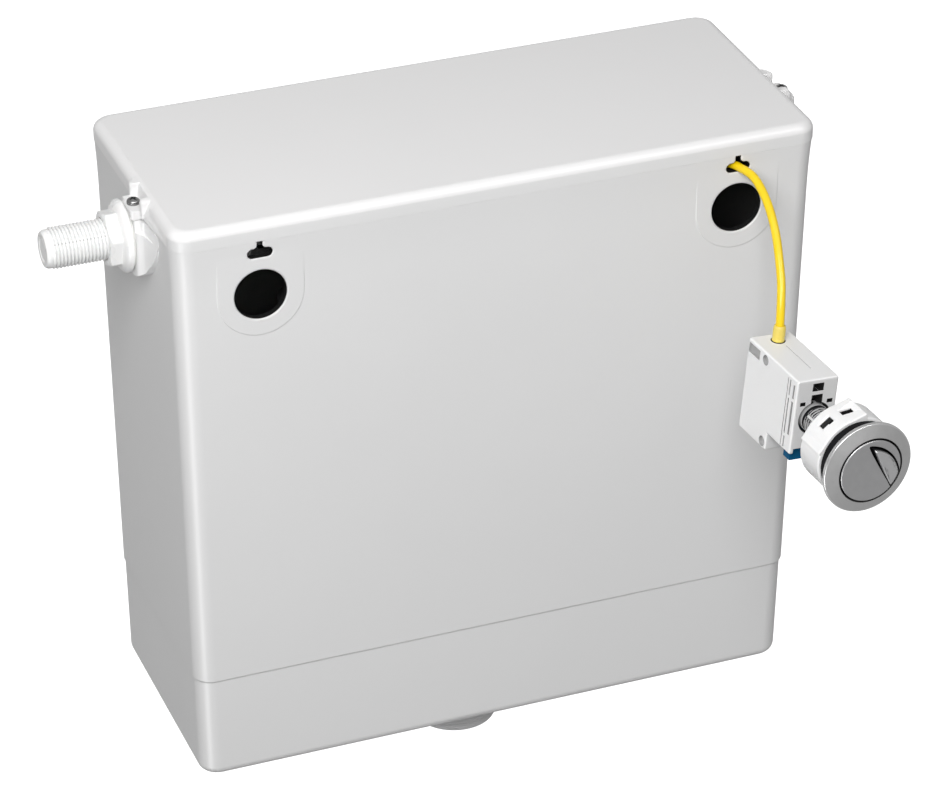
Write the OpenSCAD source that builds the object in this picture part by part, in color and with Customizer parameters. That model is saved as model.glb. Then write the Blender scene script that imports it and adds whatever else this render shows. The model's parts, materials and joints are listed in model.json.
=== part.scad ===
// Concealed toilet cistern with a side inlet, a bottom outlet and a
// dual-flush push button on a flexible cable.
// Millimetres. +X to the right seen from the front, -Y to the front, +Z up.
// The back of the tank lies on Y = 0 and the origin is midway between the
// two wall fixing holes. Heights in the modules are counted from the
// underside of the tank and seat() lowers them to the fixings.

/* [Tank] */
// Width across the lid
lid_w = 340; // [336:1:344]
// Depth from the wall to the front of the lid
lid_d = 140; // [138:1:143]
// Height of the lid's top above the underside of the tank
top_z = 321.5; // [321:0.5:325]
// Height of the lid's bottom edge
rim_z = 311; // [310.5:0.5:312]
// Height of the step line near the bottom
step_z = 60; // [40:1:90]
// Depth of the step
step_in = 0.8; // [0.4:0.1:1.5]
// Thickness of the tank's walls
wall = 3.2; // [2.8:0.1:3.4]
// Thickness of the tank's floor
floor_t = 4; // [3:0.5:4]
// Radius of the upright corners
corner_r = 10; // [8:1:14]
// Radius of the bottom edges
bottom_r = 6; // [3:0.5:8]
// Taper of each side wall for each mm of height
draft_x = 0.0171; // [0:0.0001:0.018]
// Taper of the front wall for each mm of height
draft_y = 0.0083; // [0:0.0001:0.0090]

/* [Front openings] */
// Distance between the two access holes, and between the wall fixings
access_pitch = 252; // [248:1:254]
// Diameter of the access holes
access_d = 27; // [20:0.5:30]
// Height of the access holes and of the wall fixings
fix_z = 281.5; // [279:0.5:283]
// Diameter of the wall fixing holes
fix_d = 8.4; // [6:0.1:10]
// Width of the raised pad around each access hole
pad_w = 44.6; // [36:0.2:48]
// Width of the cross bar of each T slot
slot_w = 13; // [10:0.5:16]
// Height of the cross bar of each T slot
slot_h = 5.2; // [4.6:0.1:5.6]

/* [Water connections] */
// Diameter of the inlet thread, half inch pipe
inlet_d = 20.95; // [20.9:0.05:21]
// Diameter of the outlet thread, one and a half inch pipe
outlet_d = 47.8; // [47.6:0.1:48]
// Length of the outlet tail below the tank
outlet_len = 35; // [25:1:45]
// Width across the flats of the inlet nut
nut_af = 26; // [24:0.5:28]

/* [Button unit] */
// Turn of the hanging unit about the vertical, degrees
unit_yaw = 4.5; // [0:0.5:10]
// Sideways lean of the hanging unit, degrees
unit_roll = 5; // [0:0.5:10]
// Diameter of the bezel
bezel_d = 48; // [46:0.5:50]
// Diameter of the two buttons together
disc_d = 33; // [32:0.1:33.6]
// Distance of the chord between the buttons from the centre
chord = 5; // [4:0.1:6]
// Diameter of the cable's yellow sheath
cable_d = 4.4; // [4:0.1:4.4]

/* [Hidden] */
$fn = 64;
// Thickness of the thin outlines that the tapered shells are blended between
e = 0.2;

// Outline of the tank at a height
overhang = 0.8;
function half_w(z) = lid_w / 2 - overhang - draft_x * (top_z - z);
function front_y(z) = -(lid_d - overhang) + draft_y * (top_z - z);
lip_z = rim_z + 6.5;
lip_in = 2.3;

// Screws through the lid's ears
ear_x = 173.2;
ear_y = -87.2;
seat_z = 314.9;
// Ends of the pocket around each screw
pocket_back = -79.2;
pocket_front = -95;

// Blocks on the side walls
block_x = 175.6;
block_y = -86;
block_z = 297.5;

// Inlet axis
in_y = -80.5;
in_z = 294.4;
in_r = inlet_d / 2;

// Outlet axis
out_y = -70;
out_r = outlet_d / 2;

// Float arm pivot
arm_x = -118;
arm_z = 268.5;
float_x = -80;

// Button unit: the cable enters at the origin of the unit
entry = [121.5, -202.7, 239.5];
box_l = -12.2;
box_r = 11;
box_back = 7.5;
box_front = -42;
box_low = -50.2;
box_mid = -40.6;
box_step = -19.5;
skin = 1.8;
axis_x = -0.6;
axis_z = -21.5;
seg_a = 30;
pivot_y = -35;
pivot_z = -34.5;

// Cable routes, from the flush valve to the slot and from the slot to the box
inner_route = [[0, -70, 262], [0, -70, 273], [4, -71, 285], [15, -74, 296], [34, -80, 302],
  [60, -88, 304], [86, -98, 304.5], [106, -111, 304.5], [118, -125, 304.5], [126, -138, 304.5]];
outer_route = [[126, -138, 304.5], [130, -148, 303], [131.5, -158, 298], [131.5, -168, 291],
  [130.5, -177, 283], [128.5, -185.5, 275], [126.5, -193, 266.5], [124, -199, 257.5],
  [122.3, -202.3, 248], [121.6, -202.7, 240.5]];

// ---------- helpers ----------
module seat() translate([0, 0, -fix_z]) children();
module along_x(x, y, z) translate([x, y, z]) rotate([0, 90, 0]) children();
module unit() seat() translate(entry) rotate([0, 0, unit_yaw]) rotate([0, unit_roll, 0]) children();
// Axis of the button: local height runs from the box towards the bezel
module button_axis(y) unit() translate([axis_x, y, axis_z]) rotate([90, 0, 0]) children();
module tube(ro, ri, h) difference() {
  cylinder(r = ro, h = h);
  translate([0, 0, -1]) cylinder(r = ri, h = h + 2);
}
module slab(z, hw, yf, yb, r) for (sx = [-1, 1]) {
  translate([sx * (hw - r), yf + r, z]) cylinder(r = r, h = e, $fn = 32);
  translate([sx * (hw - r), yb - r, z]) cylinder(r = r, h = e, $fn = 32);
}

// Rounded rectangle seen from above
module plan(hw, yf, yb, r) {
  translate([-hw, yf + r]) square([2 * hw, yb - yf - 2 * r]);
  translate([-hw + r, yf]) square([2 * (hw - r), yb - yf]);
  for (sx = [-1, 1]) for (y = [yf + r, yb - r]) translate([sx * (hw - r), y]) circle(r = r);
}

// Tube swept along a smooth curve through the route's points
function cr(p, i, t) = let (
    n = len(p), a = p[max(i - 1, 0)], b = p[i], c = p[min(i + 1, n - 1)], d = p[min(i + 2, n - 1)])
  0.5 * (2 * b + (c - a) * t + (2 * a - 5 * b + 4 * c - d) * t * t + (3 * b - a - 3 * c + d) * t * t * t);
function curve(p, m) = [for (i = [0:len(p) - 2]) for (k = [0:m - 1]) cr(p, i, k / m), p[len(p) - 1]];
function unitv(v) = v / norm(v);
module swept(p, r, m, sides) {
  q = curve(p, m);
  n = len(q);
  rings = [for (i = [0:n - 1]) let (
      t = unitv(q[min(i + 1, n - 1)] - q[max(i - 1, 0)]),
      u = unitv(cross(t, [0.31, 0.94, 0.12])), v = cross(t, u))
    for (s = [0:sides - 1]) q[i] + r * (cos(360 * s / sides) * u + sin(360 * s / sides) * v)];
  sidesf = [for (i = [0:n - 2]) for (s = [0:sides - 1])
    [i * sides + s, i * sides + (s + 1) % sides, (i + 1) * sides + (s + 1) % sides, (i + 1) * sides + s]];
  polyhedron(points = rings, faces = concat(sidesf,
    [[for (s = [0:sides - 1]) sides - 1 - s]], [[for (s = [0:sides - 1]) (n - 1) * sides + s]]));
}

// ---------- tank and lid ----------
module tank_low() hull() {
  for (a = [0, 30, 60, 90]) let (i = bottom_r * (1 - sin(a)), z = bottom_r * (1 - cos(a)))
    slab(z, half_w(z) - step_in - i, front_y(z) + step_in + i, -i, corner_r - i * 0.6);
  slab(step_z + 0.5, half_w(step_z) - step_in, front_y(step_z) + step_in, 0, corner_r);
}
module tank_high() hull() {
  slab(step_z, half_w(step_z), front_y(step_z), 0, corner_r);
  slab(rim_z - e, half_w(rim_z), front_y(rim_z), 0, corner_r);
}
module tank_lip() translate([0, 0, rim_z - 2]) linear_extrude(lip_z - rim_z + 2)
  plan(half_w(rim_z) - lip_in, front_y(rim_z) + lip_in, -lip_in, corner_r - lip_in);
module tank_inside() hull() {
  slab(floor_t, half_w(0) - wall - step_in - 3, front_y(0) + wall + step_in + 3, -wall - 3, corner_r - 4);
  slab(floor_t + 3, half_w(0) - wall - step_in, front_y(0) + wall + step_in, -wall, corner_r - 3);
  slab(lip_z + 1, half_w(lip_z) - wall - step_in, front_y(lip_z) + wall + step_in, -wall, corner_r - 3);
}
// Block on the side wall that takes the lid's screw and the inlet
module side_block() {
  translate([block_x - 8, block_y - 19, block_z - 1.5]) cube([8, 38, 13.7]);
  intersection() {
    along_x(block_x - 8, block_y, block_z - 1.5) cylinder(r = 19, h = 8);
    translate([block_x - 8, block_y - 20, block_z - 22]) cube([8, 40, 21]);
  }
}
module front_pad() translate([0, front_y(fix_z), fix_z]) rotate([atan(draft_y), 0, 0]) rotate([90, 0, 0])
  translate([0, 0, -1]) linear_extrude(1.4) {
    circle(d = pad_w);
    translate([-pad_w / 2, 0]) square([pad_w, rim_z - fix_z - 1]);
  }
module t_slot() translate([0, -lid_d - 4, fix_z + 20.3]) {
  translate([-slot_w / 2 + slot_h / 2, 0, 0]) cube([slot_w - slot_h, 12, slot_h]);
  for (s = [-1, 1]) translate([s * (slot_w - slot_h) / 2, 0, slot_h / 2]) rotate([-90, 0, 0]) cylinder(d = slot_h, h = 12);
  translate([-1.45, 0, slot_h - 1]) cube([2.9, 12, 20]);
}
module tank() color("whitesmoke") seat() difference() {
  union() {
    difference() {
      union() {
        tank_low();
        tank_high();
        tank_lip();
        for (s = [-1, 1]) translate([s * access_pitch / 2, 0, 0]) front_pad();
      }
      tank_inside();
    }
    side_block();
    mirror([1, 0, 0]) side_block();
  }
  for (s = [-1, 1]) {
    translate([s * access_pitch / 2, -lid_d - 4, fix_z]) rotate([-90, 0, 0]) cylinder(d = access_d, h = 16);
    translate([s * access_pitch / 2, -8, fix_z]) rotate([-90, 0, 0]) cylinder(d = fix_d, h = 16);
    translate([s * access_pitch / 2, 0, 0]) t_slot();
    translate([s * ear_x, ear_y, seat_z - 9.3]) cylinder(r = 2.05, h = 24);
  }
  along_x(-block_x - 1, in_y, in_z) cylinder(r = in_r + 0.25, h = 14);
  along_x(-165.3, in_y, in_z) cylinder(r = 16.5, h = 12);
  translate([0, out_y, -1]) cylinder(r = out_r + 0.3, h = 12);
}
// Cheeks beside the screw: a short one behind it, a falling ramp in front of it
module ear_cheeks() difference() {
  translate([0, 0, rim_z + 0.3]) linear_extrude(9.5) polygon([[168.5, pocket_back + 7], [171.6, pocket_back + 4.4],
    [172.4, pocket_back + 3], [172.4, pocket_front - 3.4], [170.2, pocket_front - 28], [168.5, pocket_front - 28]]);
  translate([160, pocket_front - 4, rim_z + 9.8]) rotate([20.5, 0, 0]) translate([0, -60, 0]) cube([20, 60, 30]);
}
module lid() color("white") seat() difference() {
  union() {
    hull() {
      slab(rim_z + 0.3, lid_w / 2, -lid_d, 0, corner_r);
      for (a = [0, 22.5, 45, 67.5, 90]) let (i = 5 * (1 - cos(a)))
        slab(top_z - 5 + 5 * sin(a) - e, lid_w / 2 - i, -lid_d + i, -i, corner_r - i * 0.6);
    }
    for (s = [0, 1]) mirror([s, 0, 0]) {
      ear_cheeks();
      translate([169.6, pocket_front - 1.2, seat_z - 4.9]) cube([6.6, pocket_back - pocket_front + 2.2, 4.9]);
      translate([170, pocket_front - 1.2, seat_z - 1.6]) cube([8, 14.2, 1.6]);
      translate([175.9, pocket_front - 1.2, seat_z - 7.5]) cube([2.1, 1.8, 7]);
    }
  }
  translate([0, 0, rim_z - 3]) linear_extrude(top_z - rim_z)
    plan(lid_w / 2 - 2, -lid_d + 2, -2, corner_r - 2);
  for (s = [0, 1]) mirror([s, 0, 0]) {
    translate([168, pocket_front, seat_z]) cube([12, pocket_back - pocket_front, 14]);
    translate([ear_x, ear_y, seat_z - 6]) cylinder(r = 2.2, h = 20);
  }
}
module lid_screws() color("silver") seat() for (s = [-1, 1]) translate([s * ear_x, ear_y, seat_z]) {
  rotate_extrude() polygon([[0, -9], [1, -9], [1.95, -7.8], [1.95, 0], [3.3, 0], [3.3, 1.3], [2.7, 2.3], [1.5, 2.8], [0, 2.9]]);
}

// ---------- inlet and fill valve ----------
module fill_valve_body() color("white") seat() difference() {
  union() {
    along_x(-218.3, in_y, in_z) cylinder(r1 = in_r - 1.2, r2 = in_r, h = 1.4);
    along_x(-216.9, in_y, in_z) cylinder(r = in_r, h = 29.2);
    along_x(-187.8, in_y, in_z) cylinder(r = in_r - 0.3, h = 28);
    along_x(-162.8, in_y, in_z) cylinder(r = 15.5, h = 3.8);
    along_x(-159, in_y, in_z) cylinder(r = 10, h = 34);
    along_x(-126, in_y, in_z) cylinder(r = 13.5, h = 15.5);
    translate([-140, in_y, in_z - 22]) cylinder(r = 7, h = 22);
    for (s = [-1, 1]) translate([arm_x - 4, in_y + s * 6.2 - 1.2, arm_z - 4]) cube([8, 2.4, 20]);
  }
  along_x(-220, in_y, in_z) cylinder(r = 6, h = 100);
  translate([-140, in_y, in_z - 30]) cylinder(r = 5, h = 30);
  translate([arm_x, in_y - 12, arm_z]) rotate([-90, 0, 0]) cylinder(r = 2.02, h = 24);
  translate([arm_x + 3.5, in_y, arm_z]) cylinder(r = 2.26, h = 24);
}
module inlet_backnut() color("white") seat() difference() {
  union() {
    along_x(-180.2, in_y, in_z) cylinder(r = 18.5, h = 3.6);
    along_x(-187.6, in_y, in_z) rotate([0, 0, 12]) cylinder(r = nut_af / 2 / cos(30), h = 8.5, $fn = 6);
  }
  along_x(-190, in_y, in_z) cylinder(r = in_r - 0.24, h = 20);
}
module inlet_outer_washer() color("gainsboro") seat() along_x(-176.6, in_y, in_z) tube(13.5, in_r - 0.2, 1);
module inlet_seal() color("dimgray") seat() along_x(-165.3, in_y, in_z) tube(15.5, in_r - 0.2, 2.5);
module inlet_filter() color("lightgray") seat() along_x(-217.5, in_y, in_z) difference() {
  cylinder(r = 5.95, h = 14);
  translate([0, 0, 1.6]) cylinder(r = 4.8, h = 14);
  for (a = [0:60:300]) rotate([0, 0, a]) translate([3.2, 0, -1]) cylinder(r = 0.9, h = 4);
}
module fill_valve_cap() color("white") seat() along_x(-110.5, in_y, in_z) difference() {
  union() {
    cylinder(r = 15.5, h = 7);
    translate([0, 0, 7]) cylinder(r1 = 15.5, r2 = 13, h = 2);
    for (a = [0:30:330]) rotate([0, 0, a]) translate([15.2, 0, 0]) cylinder(r = 1.2, h = 7, $fn = 16);
  }
  translate([0, 0, -1]) cylinder(r = 12.4, h = 4);
}
module fill_diaphragm() color("dimgray") seat() along_x(-110.5, in_y, in_z) cylinder(r = 12.3, h = 1.8);
module fill_plunger() color("royalblue") seat() translate([arm_x + 3.5, in_y, arm_z + 4.9]) cylinder(r = 2.2, h = 14.4);
module fill_drop_tube() color("whitesmoke") seat() translate([-140, in_y, 60]) tube(8.4, 7.04, in_z - 22 - 60 + 8);
module float_arm() color("white") seat() difference() {
  union() {
    translate([arm_x - 5, in_y - 4.4, arm_z - 3.6]) cube([float_x - arm_x + 11, 8.8, 7.2]);
    translate([arm_x, in_y - 4.4, arm_z]) rotate([-90, 0, 0]) cylinder(r = 4.6, h = 8.8);
    translate([float_x, in_y, arm_z - 3.6]) cylinder(r = 7, h = 7.2);
  }
  translate([arm_x, in_y - 12, arm_z]) rotate([-90, 0, 0]) cylinder(r = 2.06, h = 24);
  translate([float_x, in_y, arm_z - 10]) cylinder(r = 3.05, h = 20);
  for (s = [-1, 1]) translate([arm_x + 11, in_y + s * 5 - 2.2, arm_z - 5]) cube([17, 4.4, 10]);
}
module float_arm_pin() color("silver") seat() translate([arm_x, in_y - 8, arm_z]) rotate([-90, 0, 0]) cylinder(r = 2, h = 16);
module float_rod() color("white") seat() translate([float_x, in_y, 228]) cylinder(r = 3, h = 62);
module float_adjuster() color("royalblue") seat() translate([float_x, in_y, arm_z + 3.8]) difference() {
  union() {
    cylinder(r = 6.4, h = 4.5);
    for (a = [20:45:335]) rotate([0, 0, a]) translate([5.9, 0, 0.4]) cylinder(r = 1.4, h = 3.7, $fn = 16);
  }
  translate([0, 0, -1]) cylinder(r = 3.04, h = 8);
}
module fill_float() color("whitesmoke") seat() translate([float_x, in_y, 196]) difference() {
  union() {
    cylinder(r1 = 15, r2 = 18, h = 3);
    translate([0, 0, 3]) cylinder(r = 18, h = 42);
    translate([0, 0, 45]) cylinder(r1 = 18, r2 = 14, h = 4);
  }
  translate([0, 0, 31.9]) cylinder(r = 3.04, h = 30);
}

// ---------- outlet and flush valve ----------
module flush_valve_base() color("gainsboro") seat() translate([0, out_y, 0]) difference() {
  union() {
    translate([0, 0, -outlet_len]) cylinder(r1 = out_r - 1.5, r2 = out_r, h = 1.6);
    translate([0, 0, -outlet_len + 1.6]) cylinder(r = out_r, h = outlet_len - 13.7);
    translate([0, 0, -13]) cylinder(r = out_r - 0.35, h = 20);
    translate([0, 0, 6.6]) cylinder(r = 34, h = 4.4);
    translate([0, 0, 11]) cylinder(r = 23, h = 5);
  }
  translate([0, 0, -outlet_len - 1]) cylinder(r = 19.5, h = outlet_len + 30);
}
module outlet_seal() color("dimgray") seat() translate([0, out_y, floor_t]) tube(33, out_r - 0.25, 2.6);
module outlet_backnut() color("whitesmoke") seat() translate([0, out_y, -12]) difference() {
  union() {
    cylinder(r = 30, h = 11.9);
    translate([0, 0, 9]) cylinder(r = 34, h = 2.9);
    for (a = [0:45:315]) rotate([0, 0, a]) translate([29, -2.5, 0]) cube([4, 5, 10]);
  }
  translate([0, 0, -1]) cylinder(r = out_r - 0.29, h = 20);
}
module flush_cage() color("white") seat() translate([0, out_y, 0]) difference() {
  union() {
    translate([0, 0, 11.1]) tube(33, 28, 4);
    for (a = [45:90:315]) rotate([0, 0, a]) translate([28.2, -4, 11.1]) cube([4.6, 8, 57]);
    translate([0, 0, 66]) tube(33, 15.2, 4);
    translate([0, 0, 66]) tube(18, 14.5, 26);
    for (s = [-1, 1]) translate([s * 29 - 3.4, -5, 66]) cube([6.8, 10, 190]);
    translate([-32.4, -6.5, 251]) cube([64.8, 13, 5.5]);
    translate([0, 0, 251]) cylinder(r = 9.5, h = 5.5);
  }
  translate([0, 0, 240]) cylinder(r = 5.06, h = 30);
}
module lift_tube() color("white") seat() translate([0, out_y, 0]) difference() {
  union() {
    difference() {
      union() {
        translate([0, 0, 17.7]) cylinder(r = 14, h = 197.3);
        translate([0, 0, 17.7]) cylinder(r = 21, h = 2.6);
      }
      translate([0, 0, 16]) cylinder(r = 12, h = 210);
    }
    translate([-13, -3, 211]) cube([26, 6, 6]);
  }
  translate([0, 0, 205]) cylinder(r = 0.86, h = 20);
}
module flush_seal() color("dimgray") seat() translate([0, out_y, 16.1]) tube(22.4, 13, 1.6);
module half_flush_float() color("royalblue") seat() translate([0, out_y, 120]) difference() {
  union() {
    cylinder(r = 23, h = 26);
    translate([0, 0, 26]) cylinder(r1 = 23, r2 = 18, h = 4);
  }
  translate([0, 0, -1]) cylinder(r = 14.04, h = 40);
}
module pull_wire() color("silver") seat() translate([0, out_y, 209]) cylinder(r = 0.8, h = 34, $fn = 24);
module wire_nipple() color("goldenrod") seat() translate([0, out_y, 204]) difference() {
  cylinder(r = 2.4, h = 6.9);
  translate([0, 0, 4.9]) cylinder(r = 0.86, h = 4, $fn = 24);
}
module cable_gland() color("lightyellow") seat() translate([0, out_y, 0]) difference() {
  union() {
    translate([0, 0, 239]) cylinder(r = 4, h = 12);
    translate([0, 0, 250]) cylinder(r = 5, h = 18);
    translate([0, 0, 256.6]) cylinder(r = 8, h = 3);
  }
  translate([0, 0, 238]) cylinder(r = 1.3, h = 40);
  translate([0, 0, 262]) cylinder(r = cable_d / 2 + 0.06, h = 10);
}
module cable_inner_run() color("gold") seat() swept(inner_route, cable_d / 2, 3, 8);
module cable_sheath() color("gold") seat() swept(outer_route, cable_d / 2, 3, 8);
module cable_ferrule() color("khaki") unit() translate([0, 0, 0.05]) tube(3.2, cable_d / 2 + 0.12, 8.5);

// ---------- button unit ----------
module box_outline() polygon([[box_back, 0], [box_front, 0], [box_front, box_mid],
  [box_step, box_mid], [box_step, box_low], [box_back, box_low]]);
module box_hollow() polygon([[box_back - skin, -skin], [box_front + skin, -skin], [box_front + skin, box_mid + skin],
  [box_step + skin, box_mid + skin], [box_step + skin, box_low + skin], [box_back - skin, box_low + skin]]);
module box_shell(x0, x1, in0, in1) difference() {
  translate([x0, 0, 0]) rotate([90, 0, 90]) linear_extrude(x1 - x0) box_outline();
  translate([in0, 0, 0]) rotate([90, 0, 90]) linear_extrude(in1 - in0) box_hollow();
  // cable, barrel and pin
  translate([0, 0, -4]) cylinder(r = 2.6, h = 8);
  translate([axis_x, box_front + 10, axis_z]) rotate([90, 0, 0]) cylinder(r = 7.85, h = 20);
  translate([box_l + 1, pivot_y, pivot_z]) rotate([0, 90, 0]) cylinder(r = 1.55, h = box_r - box_l - 2);
  // slot under the front for the lever's foot
  translate([box_l + 2, box_front - 1, box_mid - 1]) cube([10, 14, 4]);
  // windows in the front
  for (z = [-6.6, -13]) translate([axis_x - 2.9, box_front - 1, z]) cube([5.8, 4, 4.4]);
  for (x = [-9.1, 6.1]) translate([axis_x + x, box_front - 1, -13.6]) cube([3, 4, 1.7]);
}
module actuator_shell_left() color("white") unit() difference() {
  box_shell(box_l, -0.03, box_l + skin, 1);
  // recesses in the outer face
  translate([box_l - 1, box_back - 11.5, -7.2]) cube([2, 10.4, 5.2]);
  translate([box_l - 1, box_back - 17.6, -4.1]) rotate([0, 90, 0]) cylinder(r = 2.6, h = 2);
  translate([box_l - 1, box_back - 23.2, -46.6]) rotate([0, 90, 0]) cylinder(r = 2.6, h = 2);
  translate([box_l - 1, box_front + 8.6, -39.5]) cube([1.6, 1.2, 37.5]);
  for (z = [-10.8, -32]) translate([box_l - 1, box_front + 1.8, z]) cube([1.8, 2.2, z == -32 ? 19.6 : 8.8]);
}
module actuator_shell_right() color("white") unit() difference() {
  box_shell(0.03, box_r, -1, box_r - skin);
  translate([box_r - 1, box_back - 17.6, -4.1]) rotate([0, 90, 0]) cylinder(r = 2.6, h = 2);
  translate([box_r - 1, box_back - 23.2, -46.6]) rotate([0, 90, 0]) cylinder(r = 2.6, h = 2);
}
module button_barrel() color("darkgray") difference() {
  union() {
    button_axis(-38) cylinder(r = 9.6, h = 2);
    button_axis(-38) cylinder(r = 7.6, h = 37);
  }
  button_axis(-37) cylinder(r = 6.3, h = 60);
}
module button_carrier() color("dimgray") button_axis(-69.2) difference() {
  cylinder(r = 18.2, h = 22.5);
  translate([0, 0, 3]) cylinder(r = 17.4, h = 30);
  translate([0, 0, -1]) cylinder(r = 7.66, h = 10);
}
module button_clamp() color("white") button_axis(-65) difference() {
  union() {
    cylinder(r = 21.2, h = 18);
    for (a = [0, 180]) rotate([0, 0, a]) linear_extrude(18) {
      rotate([0, 0, 110]) translate([0, -10.6]) square([21, 10.6]);
      rotate([0, 0, 140]) square([21, 10.6]);
    }
  }
  translate([0, 0, 3]) cylinder(r = 18.27, h = 30);
  translate([0, 0, -1]) cylinder(r = 7.66, h = 10);
  for (a = [97, 130, 277, 310]) rotate([0, 0, a]) translate([17, -3.3, 6]) cube([7, 6.6, 4.6]);
}
module button_gasket() color("black") button_axis(-83.6) tube(20.3, 18.3, 8);
module bezel() color("silver") button_axis(-91.7) difference() {
  union() {
    cylinder(r = bezel_d / 2, h = 2.5);
    translate([0, 0, 2.5]) cylinder(r1 = bezel_d / 2, r2 = 17.8, h = 2.9);
  }
  translate([0, 0, -1]) cylinder(r = 17.4, h = 10);
}
// Petal of the half button: beyond the chord and inside a wider arc
module petal(gap) intersection() {
  rotate([0, 0, seg_a]) translate([chord + gap, -40]) square([40, 80]);
  translate([-4.8, -9]) circle(r = 22.1 - gap);
}
module full_flush_button() color("silver") button_axis(-88) difference() {
  cylinder(r = disc_d / 2, h = 9.4);
  translate([0, 0, -1]) linear_extrude(20) petal(-0.4);
}
module half_flush_button() color("silver") button_axis(-88) intersection() {
  cylinder(r = disc_d / 2, h = 14);
  linear_extrude(14) petal(0.4);
  // top rises along the chord to a finger grip
  rotate([0, 0, seg_a]) rotate([90, 0, 90]) linear_extrude(40)
    polygon([[-20, 0], [14, 0], [14, 12.3], [9, 12.2], [-13, 9.6], [-20, 9.4]]);
}
module push_rod(s, h) intersection() {
  union() {
    button_axis(-42) cylinder(r = 5.9, h = h);
    unit() translate([axis_x - 3, -42.5, axis_z - 1.5]) cube([6, 6.7, 3]);
  }
  unit() translate([axis_x + (s < 0 ? -20 : 0.4), -120, -60]) cube([19.6, 120, 80]);
}
module full_push_rod() color("white") push_rod(-1, 46);
module half_push_rod() color("white") {
  push_rod(1, 40.8);
  // step out to the half button
  button_axis(-80.2) rotate([0, 0, seg_a]) translate([0, -0.5, 0]) rotate([90, 0, 0])
    linear_extrude(5) polygon([[3.2, 0], [11.5, 0], [11.5, 7.8], [8, 7.8], [8, 2.4], [3.2, 2.4]]);
}
// Bell crank: upright arm in front of the rod, long arm back to the puller
module crank(w) difference() {
  union() {
    cylinder(r = 3.6, h = w);
    translate([0, 1, 0]) cube([2.6, 16, w]);
    linear_extrude(w) polygon([[1, -2.5], [1, 2], [33, 12.6], [37, 12.6], [37, 10.5], [34.5, 10.5]]);
  }
  translate([0, 0, -1]) cylinder(r = 1.56, h = w + 2);
}
module full_lever() color("steelblue") unit() {
  translate([-9.2, pivot_y, pivot_z]) rotate([90, 0, 90]) crank(7.8);
  difference() {
    translate([-9.4, pivot_y - 3.4, -46]) cube([7.4, 6, 11]);
    translate([-12, pivot_y, pivot_z]) rotate([0, 90, 0]) cylinder(r = 1.56, h = 20);
  }
}
module half_lever() color("white") unit() translate([0.3, pivot_y, pivot_z]) rotate([90, 0, 90]) crank(7.4);
module lever_pin() color("silver") unit() translate([box_l + 1.1, pivot_y, pivot_z]) rotate([0, 90, 0]) cylinder(r = 1.5, h = box_r - box_l - 2.2);
module puller(x0, x1) unit() difference() {
  translate([x0, -3, -31]) cube([x1 - x0, 6, 5.6]);
  translate([(x0 + x1) / 2, 0, -40]) cylinder(r = 1, h = 30);
}
module full_puller() color("white") puller(-9.2, -1);
module half_puller() color("white") puller(-0.4, 7.8);

tank();
lid();
lid_screws();
fill_valve_body();
inlet_backnut();
inlet_outer_washer();
inlet_seal();
inlet_filter();
fill_valve_cap();
fill_diaphragm();
fill_plunger();
fill_drop_tube();
float_arm();
float_arm_pin();
float_rod();
float_adjuster();
fill_float();
flush_valve_base();
outlet_seal();
outlet_backnut();
flush_cage();
lift_tube();
flush_seal();
half_flush_float();
pull_wire();
wire_nipple();
cable_gland();
cable_inner_run();
cable_sheath();
cable_ferrule();
actuator_shell_left();
actuator_shell_right();
button_barrel();
button_carrier();
button_clamp();
button_gasket();
bezel();
full_flush_button();
half_flush_button();
full_push_rod();
half_push_rod();
full_lever();
half_lever();
lever_pin();
full_puller();
half_puller();
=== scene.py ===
import json
import math

import bmesh
import bpy
import numpy as np
from mathutils import Matrix, Vector


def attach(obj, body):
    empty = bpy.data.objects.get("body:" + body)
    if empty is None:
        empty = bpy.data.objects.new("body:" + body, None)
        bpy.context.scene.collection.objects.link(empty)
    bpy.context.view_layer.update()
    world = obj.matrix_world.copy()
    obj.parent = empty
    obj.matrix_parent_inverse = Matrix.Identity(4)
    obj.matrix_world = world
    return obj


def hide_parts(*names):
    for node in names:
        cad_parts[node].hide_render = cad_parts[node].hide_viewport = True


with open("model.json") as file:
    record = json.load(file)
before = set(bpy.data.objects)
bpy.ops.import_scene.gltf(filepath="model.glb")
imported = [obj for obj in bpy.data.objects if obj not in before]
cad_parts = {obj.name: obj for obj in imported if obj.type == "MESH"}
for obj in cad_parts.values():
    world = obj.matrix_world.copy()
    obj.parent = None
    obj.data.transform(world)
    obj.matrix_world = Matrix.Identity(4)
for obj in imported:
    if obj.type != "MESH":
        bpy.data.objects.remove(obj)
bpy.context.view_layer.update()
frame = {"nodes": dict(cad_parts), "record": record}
NODE = frame["nodes"]
SCENE = bpy.context.scene

# Lengths are in millimetres and heights count from the underside of the tank,
# until ROW takes a finished mesh to the row frame in metres.
FIX_Z = 281.5
ROW = Matrix.Scale(0.001, 4) @ Matrix.Translation((0, 0, -FIX_Z))
UNIT = (Matrix.Translation((121.5, -202.7, 239.5)) @ Matrix.Rotation(math.radians(4.5), 4, "Z")
        @ Matrix.Rotation(math.radians(5), 4, "Y"))
# Axis of the buttons: local Z runs from the box towards the viewer, local Y is up
AXIS = UNIT @ Matrix.Translation((-0.6, 0, -21.5)) @ Matrix.Rotation(math.radians(90), 4, "X")
INLET = Matrix.Translation((0, -80.5, 294.4)) @ Matrix.Rotation(math.radians(90), 4, "Y")
OUTLET = Matrix.Translation((0, -70, 0))
IDENT = Matrix.Identity(4)


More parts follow.
